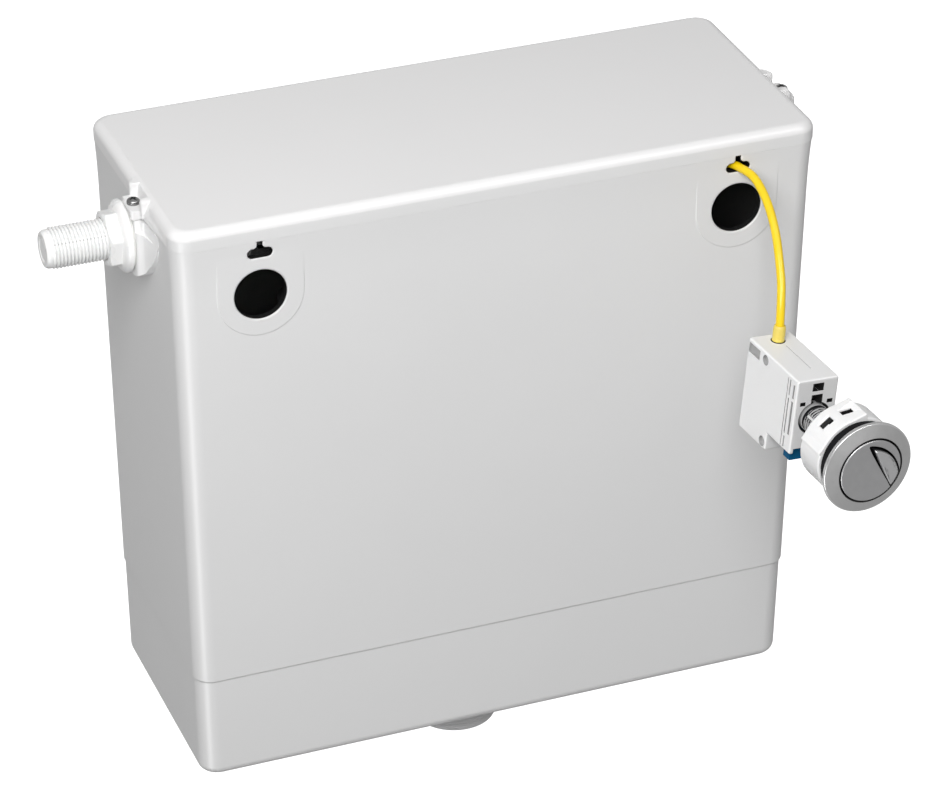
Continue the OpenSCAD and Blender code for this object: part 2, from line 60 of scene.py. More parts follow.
# ---------------------------------------------------------------- camera, light
def camera():
    az, el, roll = math.radians(-21.14797), math.radians(30.56465), math.radians(0.10748)
    back = Vector((math.sin(az) * math.cos(el), -math.cos(az) * math.cos(el), math.sin(el)))
    fwd = -back
    right = Vector((math.cos(az), math.sin(az), 0))
    up = right.cross(fwd)
    r2 = right * math.cos(roll) + up * math.sin(roll)
    u2 = -right * math.sin(roll) + up * math.cos(roll)
    data = bpy.data.cameras.new("camera")
    data.sensor_fit = "HORIZONTAL"
    data.sensor_width = 36.0
    data.lens = 158.937
    data.clip_start, data.clip_end = 0.05, 200
    cam = bpy.data.objects.new("camera", data)
    m = Matrix((r2, u2, back)).transposed().to_4x4()
    m.translation = Vector((-0.665126, -1.813323, 0.976915))
    cam.matrix_world = m
    SCENE.collection.objects.link(cam)
    SCENE.camera = cam


def area(name, direction, distance, size, power, target=(0, -0.07, -0.10), size_y=None, color=(1, 1, 1)):
    data = bpy.data.lights.new(name, "AREA")
    data.shape = "RECTANGLE"
    data.size, data.size_y = size, size_y or size
    data.energy = power
    data.color = color
    ob = bpy.data.objects.new(name, data)
    d = Vector(direction).normalized()
    ob.location = Vector(target) + d * distance
    ob.rotation_mode = "QUATERNION"
    ob.rotation_quaternion = d.to_track_quat("Z", "Y")
    SCENE.collection.objects.link(ob)
    return ob


def stage():
    SCENE.view_settings.view_transform = "Standard"
    SCENE.view_settings.look = "None"
    SCENE.view_settings.exposure = 0.0
    SCENE.view_settings.gamma = 1.0
    world = bpy.data.worlds.new("studio")
    SCENE.world = world
    world.use_nodes = True
    nt = world.node_tree
    nt.nodes.clear()
    out = nt.nodes.new("ShaderNodeOutputWorld")
    mix = nt.nodes.new("ShaderNodeMixShader")
    path = nt.nodes.new("ShaderNodeLightPath")
    soft = nt.nodes.new("ShaderNodeBackground")
    soft.inputs["Color"].default_value = (1, 1, 1, 1)
    soft.inputs["Strength"].default_value = 0.27
    bright = nt.nodes.new("ShaderNodeBackground")
    bright.inputs["Color"].default_value = (1, 1, 1, 1)
    bright.inputs["Strength"].default_value = 1.05
    # what shiny faces mirror: a pale room without a hard horizon
    room = nt.nodes.new("ShaderNodeBackground")
    room.inputs["Color"].default_value = (1, 1, 1, 1)
    room.inputs["Strength"].default_value = 0.55
    shiny = nt.nodes.new("ShaderNodeMixShader")
    nt.links.new(path.outputs["Is Glossy Ray"], shiny.inputs["Fac"])
    nt.links.new(soft.outputs[0], shiny.inputs[1])
    nt.links.new(room.outputs[0], shiny.inputs[2])
    nt.links.new(path.outputs["Is Camera Ray"], mix.inputs["Fac"])
    nt.links.new(shiny.outputs[0], mix.inputs[1])
    nt.links.new(bright.outputs[0], mix.inputs[2])
    nt.links.new(mix.outputs[0], out.inputs["Surface"])
    # plain white floor far under the hanging tank
    me = bpy.data.meshes.new("studio_floor")
    s = 60.0
    me.from_pydata([(-s, -s, -2.6), (s, -s, -2.6), (s, s, -2.6), (-s, s, -2.6)], [], [(0, 1, 2, 3)])
    floor = bpy.data.objects.new("studio_floor", me)
    SCENE.collection.objects.link(floor)
    mat = bpy.data.materials.new("studio_floor")
    mat.use_nodes = True
    p = mat.node_tree.nodes["Principled BSDF"]
    p.inputs["Base Color"].default_value = (0.9, 0.9, 0.9, 1)
    p.inputs["Roughness"].default_value = 0.9
    p.inputs["Emission Color"].default_value = (1, 1, 1, 1)
    p.inputs["Emission Strength"].default_value = 1.05
    me.materials.append(mat)
    floor.visible_diffuse = False
    floor.visible_shadow = False
    floor.visible_glossy = False
    area("key", (-0.37, -0.65, 0.66), 1.75, 1.0, 27)
    area("top", (0.05, 0.10, 1.0), 1.6, 1.2, 1.0)
    # strip that only shines back from the rounded front edge of the lid
    strip = area("edge", (0.31, -0.63, 0.71), 1.6, 1.0, 7, size_y=0.18)
    strip.visible_diffuse = False
    # and one for the upright corner between the left wall and the front
    strip = area("corner", (-0.69, -0.53, -0.51), 1.6, 0.4, 12, size_y=1.2)
    strip.visible_diffuse = False


camera()
stage()


# ---------------------------------------------------------------- materials
def principled(name, color, rough, metal=0.0):
    mat = bpy.data.materials.new(name)
    mat.use_nodes = True
    nt = mat.node_tree
    p = nt.nodes["Principled BSDF"]
    p.inputs["Base Color"].default_value = (*color, 1)
    p.inputs["Roughness"].default_value = rough
    p.inputs["Metallic"].default_value = metal
    return mat, nt, p


def coords(nt, scale=(1, 1, 1)):
    tc = nt.nodes.new("ShaderNodeTexCoord")
    mp = nt.nodes.new("ShaderNodeMapping")
    mp.inputs["Scale"].default_value = scale
    nt.links.new(tc.outputs["Object"], mp.inputs["Vector"])
    return mp.outputs["Vector"]


def noise(nt, vec, scale, detail=3.0, rough=0.5):
    n = nt.nodes.new("ShaderNodeTexNoise")
    n.inputs["Scale"].default_value = scale
    n.inputs["Detail"].default_value = detail
    n.inputs["Roughness"].default_value = rough
    nt.links.new(vec, n.inputs["Vector"])
    return n.outputs["Fac"]


def ramp(nt, fac, c0, c1, p0=0.3, p1=0.7):
    r = nt.nodes.new("ShaderNodeValToRGB")
    r.color_ramp.elements[0].position, r.color_ramp.elements[1].position = p0, p1
    r.color_ramp.elements[0].color = (*c0, 1) if len(c0) == 3 else c0
    r.color_ramp.elements[1].color = (*c1, 1) if len(c1) == 3 else c1
    nt.links.new(fac, r.inputs["Fac"])
    return r.outputs["Color"]


def maprange(nt, fac, lo, hi, a=0.0, b=1.0):
    m = nt.nodes.new("ShaderNodeMapRange")
    m.inputs["From Min"].default_value, m.inputs["From Max"].default_value = a, b
    m.inputs["To Min"].default_value, m.inputs["To Max"].default_value = lo, hi
    nt.links.new(fac, m.inputs["Value"])
    return m.outputs["Result"]


def bump(nt, p, height, strength, distance=0.0001, normal=None):
    b = nt.nodes.new("ShaderNodeBump")
    b.inputs["Strength"].default_value = strength
    b.inputs["Distance"].default_value = distance
    nt.links.new(height, b.inputs["Height"])
    if normal is not None:
        nt.links.new(normal, b.inputs["Normal"])
    nt.links.new(b.outputs["Normal"], p.inputs["Normal"])
    return b.outputs["Normal"]


def plastic(name, color, rough=0.42, mottle=0.02, grain=900.0, grain_strength=0.10, sss=0.0, spec=0.5, flow=(1, 1, 1)):
    """Moulded plastic: a faint cloudy tone, uneven sheen and a fine spark-eroded grain."""
    mat, nt, p = principled(name, color, rough)
    p.inputs["Specular IOR Level"].default_value = spec
    v = coords(nt, flow)
    cloud = noise(nt, v, 14.0, 4.0)
    lo = tuple(max(0.0, c - mottle * (0.4 + 0.6 * c)) for c in color)
    hi = tuple(min(1.0, c + mottle * (0.4 + 0.6 * c)) for c in color)
    nt.links.new(ramp(nt, cloud, lo, hi), p.inputs["Base Color"])
    nt.links.new(maprange(nt, noise(nt, v, 45.0, 3.0), max(0.05, rough - 0.05), rough + 0.05), p.inputs["Roughness"])
    bump(nt, p, noise(nt, v, grain, 2.0), grain_strength, 0.00006)
    if sss:
        p.inputs["Subsurface Weight"].default_value = sss
        p.inputs["Subsurface Radius"].default_value = (0.9, 0.8, 0.7)
        p.inputs["Subsurface Scale"].default_value = 0.0015
    return mat


def rubber(name, color=(0.006, 0.006, 0.007)):
    mat, nt, p = principled(name, color, 0.6)
    p.inputs["Specular IOR Level"].default_value = 0.08
    v = coords(nt)
    nt.links.new(ramp(nt, noise(nt, v, 60.0, 4.0), color, tuple(c * 1.8 + 0.004 for c in color)), p.inputs["Base Color"])
    nt.links.new(maprange(nt, noise(nt, v, 120.0), 0.5, 0.72), p.inputs["Roughness"])
    bump(nt, p, noise(nt, v, 1500.0, 2.0), 0.25, 0.00008)
    return mat


def metal(name, color, rough, vary=0.05, grain=2500.0, strength=0.08, stretch=(1, 1, 1), tone=0.04):
    mat, nt, p = principled(name, color, rough, 1.0)
    v = coords(nt, stretch)
    lo = tuple(max(0.0, c - tone) for c in color)
    hi = tuple(min(1.0, c + tone) for c in color)
    nt.links.new(ramp(nt, noise(nt, v, 260.0, 4.0), lo, hi), p.inputs["Base Color"])
    nt.links.new(maprange(nt, noise(nt, v, 700.0, 3.0), max(0.03, rough - vary), rough + vary), p.inputs["Roughness"])
    bump(nt, p, noise(nt, v, grain, 2.0), strength, 0.00003)
    return mat


MAT = {
    "tank": plastic("tank_plastic", (0.80, 0.80, 0.80), 0.40, 0.006, 700.0, 0.05),
    # painted light: a lighter copy of the tank's white for the lid's top
    "lid": plastic("lid_plastic", (0.86, 0.855, 0.855), 0.36, 0.006, 700.0, 0.05),
    "gloss": plastic("gloss_white", (0.94, 0.94, 0.935), 0.28, 0.008, 500.0, 0.03, sss=0.08),
    "white": plastic("white_plastic", (0.84, 0.84, 0.83), 0.38, 0.012, 800.0, 0.06),
    "unit": plastic("unit_white", (0.91, 0.91, 0.91), 0.40, 0.008, 900.0, 0.06, sss=0.05),
    "clamp": plastic("clamp_white", (0.90, 0.90, 0.90), 0.30, 0.006, 600.0, 0.03, sss=0.06),
    "washer": plastic("pale_washer", (0.74, 0.74, 0.72), 0.45, 0.02, 900.0, 0.08),
    "mesh": plastic("pale_mesh", (0.70, 0.70, 0.69), 0.50, 0.02, 1400.0, 0.15),
    "foam": plastic("foam_float", (0.07, 0.07, 0.072), 0.62, 0.02, 420.0, 0.35, spec=0.2),
    "outlet": plastic("grey_outlet", (0.72, 0.72, 0.725), 0.42, 0.02, 700.0, 0.08),
    "barrel": plastic("grey_thread", (0.36, 0.36, 0.36), 0.35, 0.03, 700.0, 0.08),
    # painted shade: grey for the floors and walls of recesses and grooves
    "recess": plastic("recess_painted_shade", (0.40, 0.40, 0.40), 0.45, 0.02, 900.0, 0.06),
    # painted shade: a dark inside for the tank, and near-black for the walls of openings, hollows and windows
    "inside": plastic("inside_painted_shade", (0.13, 0.13, 0.13), 0.50, 0.02, 700.0, 0.06),
    "shade": plastic("painted_shade_black", (0.012, 0.012, 0.012), 0.55, 0.01, 700.0, 0.06, spec=0.2),
    # the carrier's own black; also used as painted shade in the screw's cross, the thread roots and on the buttons'
    # side walls
    "carrier": plastic("dark_carrier", (0.010, 0.010, 0.011), 0.42, 0.005, 700.0, 0.08, spec=0.2),
    "blue": plastic("blue_plastic", (0.0, 0.095, 0.215), 0.45, 0.012, 700.0, 0.07, spec=0.06),
    "yellow": plastic("yellow_sheath", (0.96, 0.67, 0.004), 0.32, 0.03, 1200.0, 0.06, sss=0.08, flow=(1, 1, 1)),
    "pale_yellow": plastic("pale_yellow", (0.84, 0.66, 0.13), 0.35, 0.05, 900.0, 0.10, sss=0.25),
    "rubber": rubber("dark_rubber"),
    "screw": metal("dark_screw", (0.26, 0.26, 0.26), 0.24, 0.06, 2500.0, 0.05),
    "groove": plastic("thread_groove_painted_shade", (0.72, 0.72, 0.72), 0.40, 0.02, 700.0, 0.05),
    # painted shade: darker copies of the unit's white for its front faces and its top faces
    "unit_front_painted_shade": plastic("unit_front_painted_shade", (0.70, 0.70, 0.70), 0.40, 0.008, 900.0, 0.06),
    "unit_top_painted_shade": plastic("unit_top_painted_shade", (0.86, 0.86, 0.86), 0.40, 0.008, 900.0, 0.06),
    "steel": metal("plated_steel", (0.55, 0.55, 0.55), 0.26, 0.08),
    "brass": metal("turned_brass", (0.72, 0.50, 0.20), 0.30, 0.06),
    "chrome": metal("satin_chrome", (0.485, 0.485, 0.485), 0.42, 0.02, 2500.0, 0.03, tone=0.015),
    "button": metal("satin_button", (0.44, 0.44, 0.445), 0.40, 0.02, 2500.0, 0.03, tone=0.012),
    "fin": metal("satin_fin", (0.55, 0.55, 0.555), 0.38, 0.02, 2500.0, 0.03, tone=0.015),
    # painted light: a lighter copy of the tank's white for the side lugs
    "block": plastic("block_painted_light", (0.93, 0.93, 0.93), 0.38, 0.006, 700.0, 0.05),
    "bright": metal("polished_edge", (0.62, 0.62, 0.62), 0.30, 0.03, 2500.0, 0.02, tone=0.02),
}


# ---------------------------------------------------------------- mesh helpers
def new_object(name, verts, faces):
    me = bpy.data.meshes.new(name)
    me.from_pydata([tuple(map(float, v)) for v in verts], [], [tuple(map(int, f)) for f in faces])
    ob = bpy.data.objects.new(name, me)
    SCENE.collection.objects.link(ob)
    return outward(ob)


def outward(ob):
    bm = bmesh.new()
    bm.from_mesh(ob.data)
    bmesh.ops.recalc_face_normals(bm, faces=bm.faces)
    bm.to_mesh(ob.data)
    bm.free()
    return ob


def loft(name, rings, caps=(True, True), loop=False):
    """Skin over rings of equally many points."""
    n = len(rings[0])
    verts = np.concatenate([np.asarray(r, float) for r in rings])
    faces = []
    k = len(rings)
    for i in range(k if loop else k - 1):
        a, b = i * n, ((i + 1) % k) * n
        for s in range(n):
            t = (s + 1) % n
            faces.append((a + s, a + t, b + t, b + s))
    if not loop:
        if caps[0]:
            faces.append(tuple(range(n - 1, -1, -1)))
        if caps[1]:
            faces.append(tuple((k - 1) * n + s for s in range(n)))
    return new_object(name, verts, faces)


def lathe(name, profile, n=96, closed=False, phase=0.0):
    """Turned shape about local Z from (radius, height) points. A closed profile makes a ring."""
    rings = []
    ang = np.linspace(0, 2 * math.pi, n, endpoint=False) + phase
    for r, z in profile:
        rings.append(np.stack([r * np.cos(ang), r * np.sin(ang), np.full(n, z)], 1))
    return loft(name, rings, loop=closed)


def arc(cx, cy, r, a0, a1, n):
    return [(cx + r * math.cos(math.radians(a)), cy + r * math.sin(math.radians(a))) for a in np.linspace(a0, a1, n + 1)]


def extrude(name, outline, z0, z1):
    n = len(outline)
    o = np.asarray(outline, float)
    return loft(name, [np.c_[o, np.full(n, z0)], np.c_[o, np.full(n, z1)]])


def box(name, lo, hi):
    (x0, y0, z0), (x1, y1, z1) = lo, hi
    return extrude(name, [(x0, y0), (x1, y0), (x1, y1), (x0, y1)], z0, z1)


def soft_extrude(name, outline, z0, z1, r=0.5, steps=3, both=True):
    """Extruded outline whose end edges are rounded by moving the outline in along its own normals."""
    o = np.asarray(outline, float)
    nxt, prv = np.roll(o, -1, 0), np.roll(o, 1, 0)
    e1, e0 = nxt - o, o - prv
    e1 /= np.maximum(np.linalg.norm(e1, axis=1), 1e-9)[:, None]
    e0 /= np.maximum(np.linalg.norm(e0, axis=1), 1e-9)[:, None]
    n1, n0 = np.c_[-e1[:, 1], e1[:, 0]], np.c_[-e0[:, 1], e0[:, 0]]
    m = n1 + n0
    m /= np.maximum((m * n1).sum(1), 0.3)[:, None]
    area2 = (o[:, 0] * nxt[:, 1] - nxt[:, 0] * o[:, 1]).sum()
    if area2 < 0:
        m = -m
    rings = []
    if both:
        for a in np.linspace(0, 90, steps + 1)[:-1]:
            i, h = r * (1 - math.sin(math.radians(a))), r * (1 - math.cos(math.radians(a)))
            rings.append(np.c_[o + m * i, np.full(len(o), z0 + h)])
        rings.append(np.c_[o, np.full(len(o), z0 + r)])
    else:
        rings.append(np.c_[o, np.full(len(o), z0)])
    rings.append(np.c_[o, np.full(len(o), z1 - r)])
    for a in np.linspace(0, 90, steps + 1)[1:]:
        i, h = r * (1 - math.cos(math.radians(a))), r * math.sin(math.radians(a))
        rings.append(np.c_[o + m * i, np.full(len(o), z1 - r + h)])
    return loft(name, rings)


TO_X = Matrix(((0, 0, 1, 0), (1, 0, 0, 0), (0, 1, 0, 0), (0, 0, 0, 1)))


def x_prism(name, yz, x0, x1):
    return move(extrude(name, yz, x0, x1), TO_X)


def move(ob, m):
    ob.data.transform(m)
    if m.to_3x3().determinant() < 0:
        outward(ob)
    return ob


def settle(ob):
    """Replaces the mesh by what its modifiers make."""
    dg = bpy.context.evaluated_depsgraph_get()
    dg.update()
    me = bpy.data.meshes.new_from_object(ob.evaluated_get(dg))
    old = ob.data
    ob.modifiers.clear()
    ob.data = me
    bpy.data.meshes.remove(old)
    return ob


def boolean(ob, others, op):
    for c in others:
        m = ob.modifiers.new("b", "BOOLEAN")
        m.operation, m.solver, m.object = op, "EXACT", c
    settle(ob)
    for c in others:
        me = c.data
        bpy.data.objects.remove(c)
        bpy.data.meshes.remove(me)
    return ob


def cut(ob, *others):
    return boolean(ob, others, "DIFFERENCE")


def join(ob, *others):
    return boolean(ob, others, "UNION")


def keep(ob, *others):
    return boolean(ob, others, "INTERSECT")


def tidy(ob, dist=0.002):
    bm = bmesh.new()
    bm.from_mesh(ob.data)
    bmesh.ops.remove_doubles(bm, verts=bm.verts, dist=dist)
    bmesh.ops.dissolve_degenerate(bm, edges=bm.edges, dist=dist)
    bmesh.ops.recalc_face_normals(bm, faces=bm.faces)
    bm.to_mesh(ob.data)
    bm.free()
    return ob


def tint(ob, mats, index=0):
    """Gives a mesh its list of materials; faces that a cutter leaves behind keep the cutter's place in it."""
    ob.data.materials.clear()
    for x in mats:
        ob.data.materials.append(MAT[x])
    ob.data.polygons.foreach_set("material_index", [index] * len(ob.data.polygons))
    return ob


def bevel_edges(ob, pick, width, segments=3):
    bm = bmesh.new()
    bm.from_mesh(ob.data)
    edges = [e for e in bm.edges if pick(e)]
    bmesh.ops.bevel(bm, geom=edges, offset=width, offset_type="OFFSET", segments=segments, profile=0.5, affect="EDGES", clamp_overlap=True)
    bmesh.ops.recalc_face_normals(bm, faces=bm.faces)
    bm.to_mesh(ob.data)
    bm.free()
    return ob


def done(ob, body, mat, m=IDENT, stands_for=(), sharp=32, bevel=0.0, segments=2, flat=True):
    """Takes a finished millimetre mesh to the row frame, shades it and puts it on its body."""
    ob.data.transform(ROW @ m)
    if bevel:
        b = ob.modifiers.new("edge", "BEVEL")
        b.width, b.segments, b.limit_method = bevel * 0.001, segments, "ANGLE"
        b.angle_limit = math.radians(38)
        b.use_clamp_overlap = True
        settle(ob)
    me = ob.data
    me.polygons.foreach_set("use_smooth", [True] * len(me.polygons))
    me.set_sharp_from_angle(angle=math.radians(sharp))
    mats = mat if isinstance(mat, (list, tuple)) else [mat]
    keep_index = len(me.materials) > 1
    idx = [p.material_index for p in me.polygons]
    me.materials.clear()
    for x in mats:
        me.materials.append(MAT[x])
    if len(mats) > 1 and keep_index:
        me.polygons.foreach_set("material_index", idx)
    if flat:
        w = ob.modifiers.new("normals", "WEIGHTED_NORMAL")
        w.keep_sharp = True
        w.weight = 60
    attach(ob, body)
    if stands_for:
        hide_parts(*stands_for)
    return ob


def thread(name, r, depth, pitch, z0, z1, lead=(0.0, 0.0), n=96, per=10, starts_plain=0.0, flat_at=None, sharpness=1.0):
    """Rings of a screw thread's outer face from z0 to z1; it fades out over the lead lengths."""
    zs = np.arange(z0, z1 + 1e-6, pitch / per)
    ang = np.linspace(0, 2 * math.pi, n, endpoint=False)
    rings = []
    for z in zs:
        f = (z / pitch - ang / (2 * math.pi)) % 1.0
        wave = 0.5 + 0.5 * np.cos(2 * math.pi * f)
        wave = np.power(wave, sharpness)
        amp = 1.0
        if lead[0] > 0:
            amp = min(amp, max(0.0, (z - z0 - starts_plain) / lead[0]))
        if lead[1] > 0:
            amp = min(amp, max(0.0, (z1 - z) / lead[1]))
        rr = r - depth + depth * wave * amp
        if flat_at is not None:
            d = np.abs((ang - flat_at + math.pi) % (2 * math.pi) - math.pi)
            rr = np.where(d < math.radians(3.0), np.minimum(rr, r - depth * 0.75), rr)
        rings.append(np.stack([rr * np.cos(ang), rr * np.sin(ang), np.full(n, z)], 1))
    return rings


def circle_ring(r, z, n=96):
    ang = np.linspace(0, 2 * math.pi, n, endpoint=False)
    return np.stack([r * np.cos(ang), r * np.sin(ang), np.full(n, z)], 1)


# ---------------------------------------------------------------- cable
INNER = [(0, -70, 262), (0, -70, 273), (4, -71, 285), (15, -74, 296), (34, -80, 302),
         (60, -88, 304), (86, -98, 304.5), (106, -111, 304.5), (118, -125, 304.5), (126, -138, 304.5)]
OUTER = [(126, -138, 304.5), (130, -148, 303), (131.5, -158, 298), (131.5, -168, 291),
         (130.5, -177, 283), (128.5, -185.5, 275), (126.5, -193, 266.5), (124, -199, 257.5),
         (122.3, -202.3, 248), (121.6, -202.7, 240.5)]


def smooth_line(p, m):
    p = np.asarray(p, float)
    n = len(p)
    out = []
    for i in range(n - 1):
        a, b, c, d = p[max(i - 1, 0)], p[i], p[min(i + 1, n - 1)], p[min(i + 2, n - 1)]
        for k in range(m):
            t = k / m
            out.append(0.5 * (2 * b + (c - a) * t + (2 * a - 5 * b + 4 * c - d) * t * t + (3 * b - a - 3 * c + d) * t ** 3))
    out.append(p[-1])
    return np.array(out)


def cable():
    line = np.concatenate([smooth_line(INNER, 6)[:-1], smooth_line(OUTER, 6)])
    line = (line - np.array([0, 0, FIX_Z])) * 0.001
    cu = bpy.data.curves.new("flush_cable", "CURVE")
    cu.dimensions = "3D"
    sp = cu.splines.new("POLY")
    sp.points.add(len(line) - 1)
    for pt, co in zip(sp.points, line):
        pt.co = (*co, 1)
    cu.bevel_depth = 0.0022
    cu.bevel_resolution = 6
    cu.use_fill_caps = True
    ob = bpy.data.objects.new("flush_cable", cu)
    SCENE.collection.objects.link(ob)
    cu.materials.append(MAT["yellow"])
    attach(ob, "cistern")
    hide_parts("cable_inner_run", "cable_sheath")
    length = float(np.linalg.norm(np.diff(line, axis=0), axis=1).sum())
    return length


cable_length = cable()


# ---------------------------------------------------------------- tank and lid
def half_w(z):
    return 169.2 - 0.0171 * (321.5 - z)


def front_y(z):
    return -139.2 + 0.0083 * (321.5 - z)


def outline(hw, yf, yb, r, z, n=10):
    pts = []
    for cx, cy, a in ((hw - r, yf + r, -90), (hw - r, yb - r, 0), (-hw + r, yb - r, 90), (-hw + r, yf + r, 180)):
        for t in np.linspace(a, a + 90, n + 1):
            pts.append((cx + r * math.cos(math.radians(t)), cy + r * math.sin(math.radians(t)), z))
    return np.array(pts)


def wall_ring(z, inset, back=0.0, r=None):
    return outline(half_w(z) - inset, front_y(z) + inset, -back, 10 - inset * 0.6 if r is None else r, z)


def inner_ring(z, extra=0.0, r=7.0):
    t = (z - 7) / (318.5 - 7)
    hw, yf = 159.70 + t * 5.43, -132.53 - t * 2.64
    return outline(hw - extra, yf + extra, -3.2 - extra, max(r - extra * 0.6, 2.0), z)


def side_block(s):
    """Rounded lug on the side wall: flat outside, a gusset runs out of it towards the front corner."""
    top = 309.7
    o = [(-77.0, top), (-74.0, 309.1), (-71.2, 307.5), (-68.6, 304.9), (-66.4, 301.2), (-65.1, 297.6)]
    o += [(y, 296 + (z - 296) * 19 / 21.4) for y, z in arc(-86, 296, 21.4, 0, -150, 36)]
    o += [(-107.2, 289.2), (-109.8, 292.6), (-112.2, 296.6), (-114.3, 301.0), (-116.0, 305.6), (-117.0, top)]
    b = x_prism("block", o, 165.6, 180)
    plan = [(160, -64), (168.4, -64.5), (172.6, -65.6), (174.4, -67.0), (175.3, -69.0), (175.6, -71.5), (175.6, -96.6), (175.3, -98.0),
            (174.6, -99.2), (173.6, -100.4), (172.7, -102.0), (172.0, -105.0), (171.2, -109.5), (170.2, -114.0), (169.2, -117.5), (168.4, -119.0), (160, -119.0)]
    keep(b, extrude("plan", plan, 260, 320))
    bevel_edges(b, lambda e: all(v.co.x > 170.5 and v.co.z < top - 0.01 for v in e.verts) and len(e.link_faces) == 2 and e.calc_face_angle() > math.radians(40), 1.2, 4)
    # step: above it only a narrow post and a thin web stand out in front of the screw
    step = [(190, -95.96), (174.6, -95.96), (173.6, -96.0), (173.15, -96.2), (172.95, -96.7), (172.9, -97.2), (172.8, -98.3), (172.45, -98.8), (171.9, -99.2),
            (171.6, -101.0), (171.2, -106.0), (170.75, -112.0), (170.75, -121.0), (190, -121.0)]
    cut(b, extrude("step", step, 303.6, 330))
    if s < 0:
        move(b, Matrix.Scale(-1, 4, (1, 0, 0)))
    return b


def pad(s):
    o = arc(0, 0, 22.3, 180, 360, 28) + [(22.3, 29.3), (-22.3, 29.3)]
    p = soft_extrude("pad", o, -1.0, 0.45, 0.45, 3, both=False)
    tilt = Matrix.Rotation(math.atan(0.0083), 4, "X")
    return move(p, Matrix.Translation((s * 126, front_y(281.5), 281.5)) @ tilt @ Matrix.Rotation(math.radians(90), 4, "X"))


def spread(o, d):
    """Outline moved outwards along its own normals."""
    o = np.asarray(o, float)
    nxt, prv = np.roll(o, -1, 0), np.roll(o, 1, 0)
    e1, e0 = nxt - o, o - prv
    e1 /= np.maximum(np.linalg.norm(e1, axis=1), 1e-9)[:, None]
    e0 /= np.maximum(np.linalg.norm(e0, axis=1), 1e-9)[:, None]
    m = np.c_[e1[:, 1], -e1[:, 0]] + np.c_[e0[:, 1], -e0[:, 0]]
    m /= np.maximum((m * np.c_[e1[:, 1], -e1[:, 0]]).sum(1), 0.3)[:, None]
    return o + m * d


def t_slot(s):
    """Keyhole slot with a filleted stem; its front edge is rounded."""
    o = (arc(-3.9, 2.6, 2.6, 90, 270, 10) + arc(3.9, 2.6, 2.6, 270, 450, 10) + arc(3.4, 7.15, 1.95, 270, 180, 6)
         + [(1.45, 30), (-1.45, 30)] + arc(-3.4, 7.15, 1.95, 0, -90, 6))
    n = len(o)
    rings = [np.c_[np.asarray(o, float), np.full(n, -4.0)], np.c_[np.asarray(o, float), np.full(n, 6.75)]]
    for a in (25, 50, 75, 90):
        rings.append(np.c_[spread(o, 0.75 * (1 - math.cos(math.radians(a)))), np.full(n, 6.75 + 0.8 * math.sin(math.radians(a)))])
    rings.append(np.c_[spread(o, 0.75), np.full(n, 12.0)])
    t = loft("slot", rings)
    return move(t, Matrix.Translation((s * 126, -132, 301.8)) @ Matrix.Rotation(math.radians(90), 4, "X"))


def turned_along_y(profile, x, y, z, n=72):
    return move(lathe("cutter", profile, n), Matrix.Translation((x, y, z)) @ Matrix.Rotation(math.radians(90), 4, "X"))


def tank():
    rings = []
    for a in np.linspace(0, 90, 9):
        i, z = 6 * (1 - math.sin(math.radians(a))), 6 * (1 - math.cos(math.radians(a)))
        rings.append(wall_ring(z, 0.8 + i, i, 10 - i * 0.6))
    for z, i in ((59.3, 0.8), (59.75, 0.74), (60.05, 0.5), (60.3, 0.2), (60.6, 0.04), (61.2, 0.0), (284.0, 0.0), (291.0, -0.06), (297.0, -0.18), (302.5, -0.36), (307.0, -0.57), (310.0, -0.73), (311.12, -0.80), (311.24, -0.78), (311.27, -0.72)):
        rings.append(wall_ring(z, i, 0.0 if i < 0.7 or z < 100 else 0.0, 10 - i * 0.4))
    rings.append(wall_ring(311.27, 2.1, 2.1, 8.0))
    rings.append(wall_ring(311.5, 2.3, 2.3, 7.8))
    rings.append(wall_ring(317.2, 2.3, 2.3, 7.8))
    rings.append(wall_ring(317.5, 2.6, 2.5, 7.6))
    rings.append(outline(165.5, -135.5, -3.0, 7.2, 317.5))
    for z in (317.2, 160.0, 12.0, 7.0):
        rings.append(inner_ring(z))
    for z, x in ((5.4, 0.5), (4.5, 1.4), (4.0, 3.0)):
        rings.append(inner_ring(z, x))
    t = loft("cistern_tank", rings)
    join(t, pad(-1), pad(1), side_block(-1), side_block(1))
    cutters = []
    for s in (-1, 1):
        ys = front_y(281.5) - 0.45
        prof = [(14.6, 6.0), (14.6, 0.05)] + [(14.6 - 1.1 * math.sin(math.radians(a)), 0.05 - 1.1 * (1 - math.cos(math.radians(a)))) for a in (18, 36, 54, 72, 90)] + [(13.5, -11.0)]
        cutters.append(turned_along_y(prof, s * 126, ys, 281.5))
        cutters.append(turned_along_y([(4.2, -3.0), (4.2, 8.0)], s * 126, 0, 281.5, 48))
        cutters.append(t_slot(s))
        cutters.append(move(lathe("cutter", [(2.05, 305.6), (2.05, 330)], 32), Matrix.Translation((s * 173.2, -87.2, 0))))
    cutters.append(move(lathe("cutter", [(10.725, -180), (10.725, -161)], 64), INLET))
    cutters.append(move(lathe("cutter", [(16.5, -165.3), (16.5, -153)], 64), INLET))
    cutters.append(move(lathe("cutter", [(24.2, -2), (24.2, 12)], 96), OUTLET))
    cut(t, *cutters)
    tidy(t)
    # painted shade: the unseen inside is painted dark grey so the openings look dark, and the walls of the front
    # openings are painted near-black
    tint(t, ("tank", "inside", "shade", "block"))
    for p in t.data.polygons:
        c, n = p.center, p.normal
        k = (c.z - 7) / 311.5
        if abs(c.x) < 159.75 + k * 5.43 and -132.58 - k * 2.64 < c.y < -3.15 and 3.9 < c.z < 317.4:
            p.material_index = 1
        elif abs(n.y) < 0.3 and front_y(c.z) + 0.55 < c.y < -130 and abs(abs(c.x) - 126) < 14.0 and c.z > 260:
            p.material_index = 2
        # painted light: the side lugs take the lighter copy of the tank's white
        elif abs(c.x) > half_w(c.z) + 0.9 and 262 < c.z < 310 and c.y < -60 and n.z < 0.5:
            p.material_index = 3
    return done(t, "cistern", ["tank", "inside", "shade", "block"], stands_for=("tank",), sharp=30)


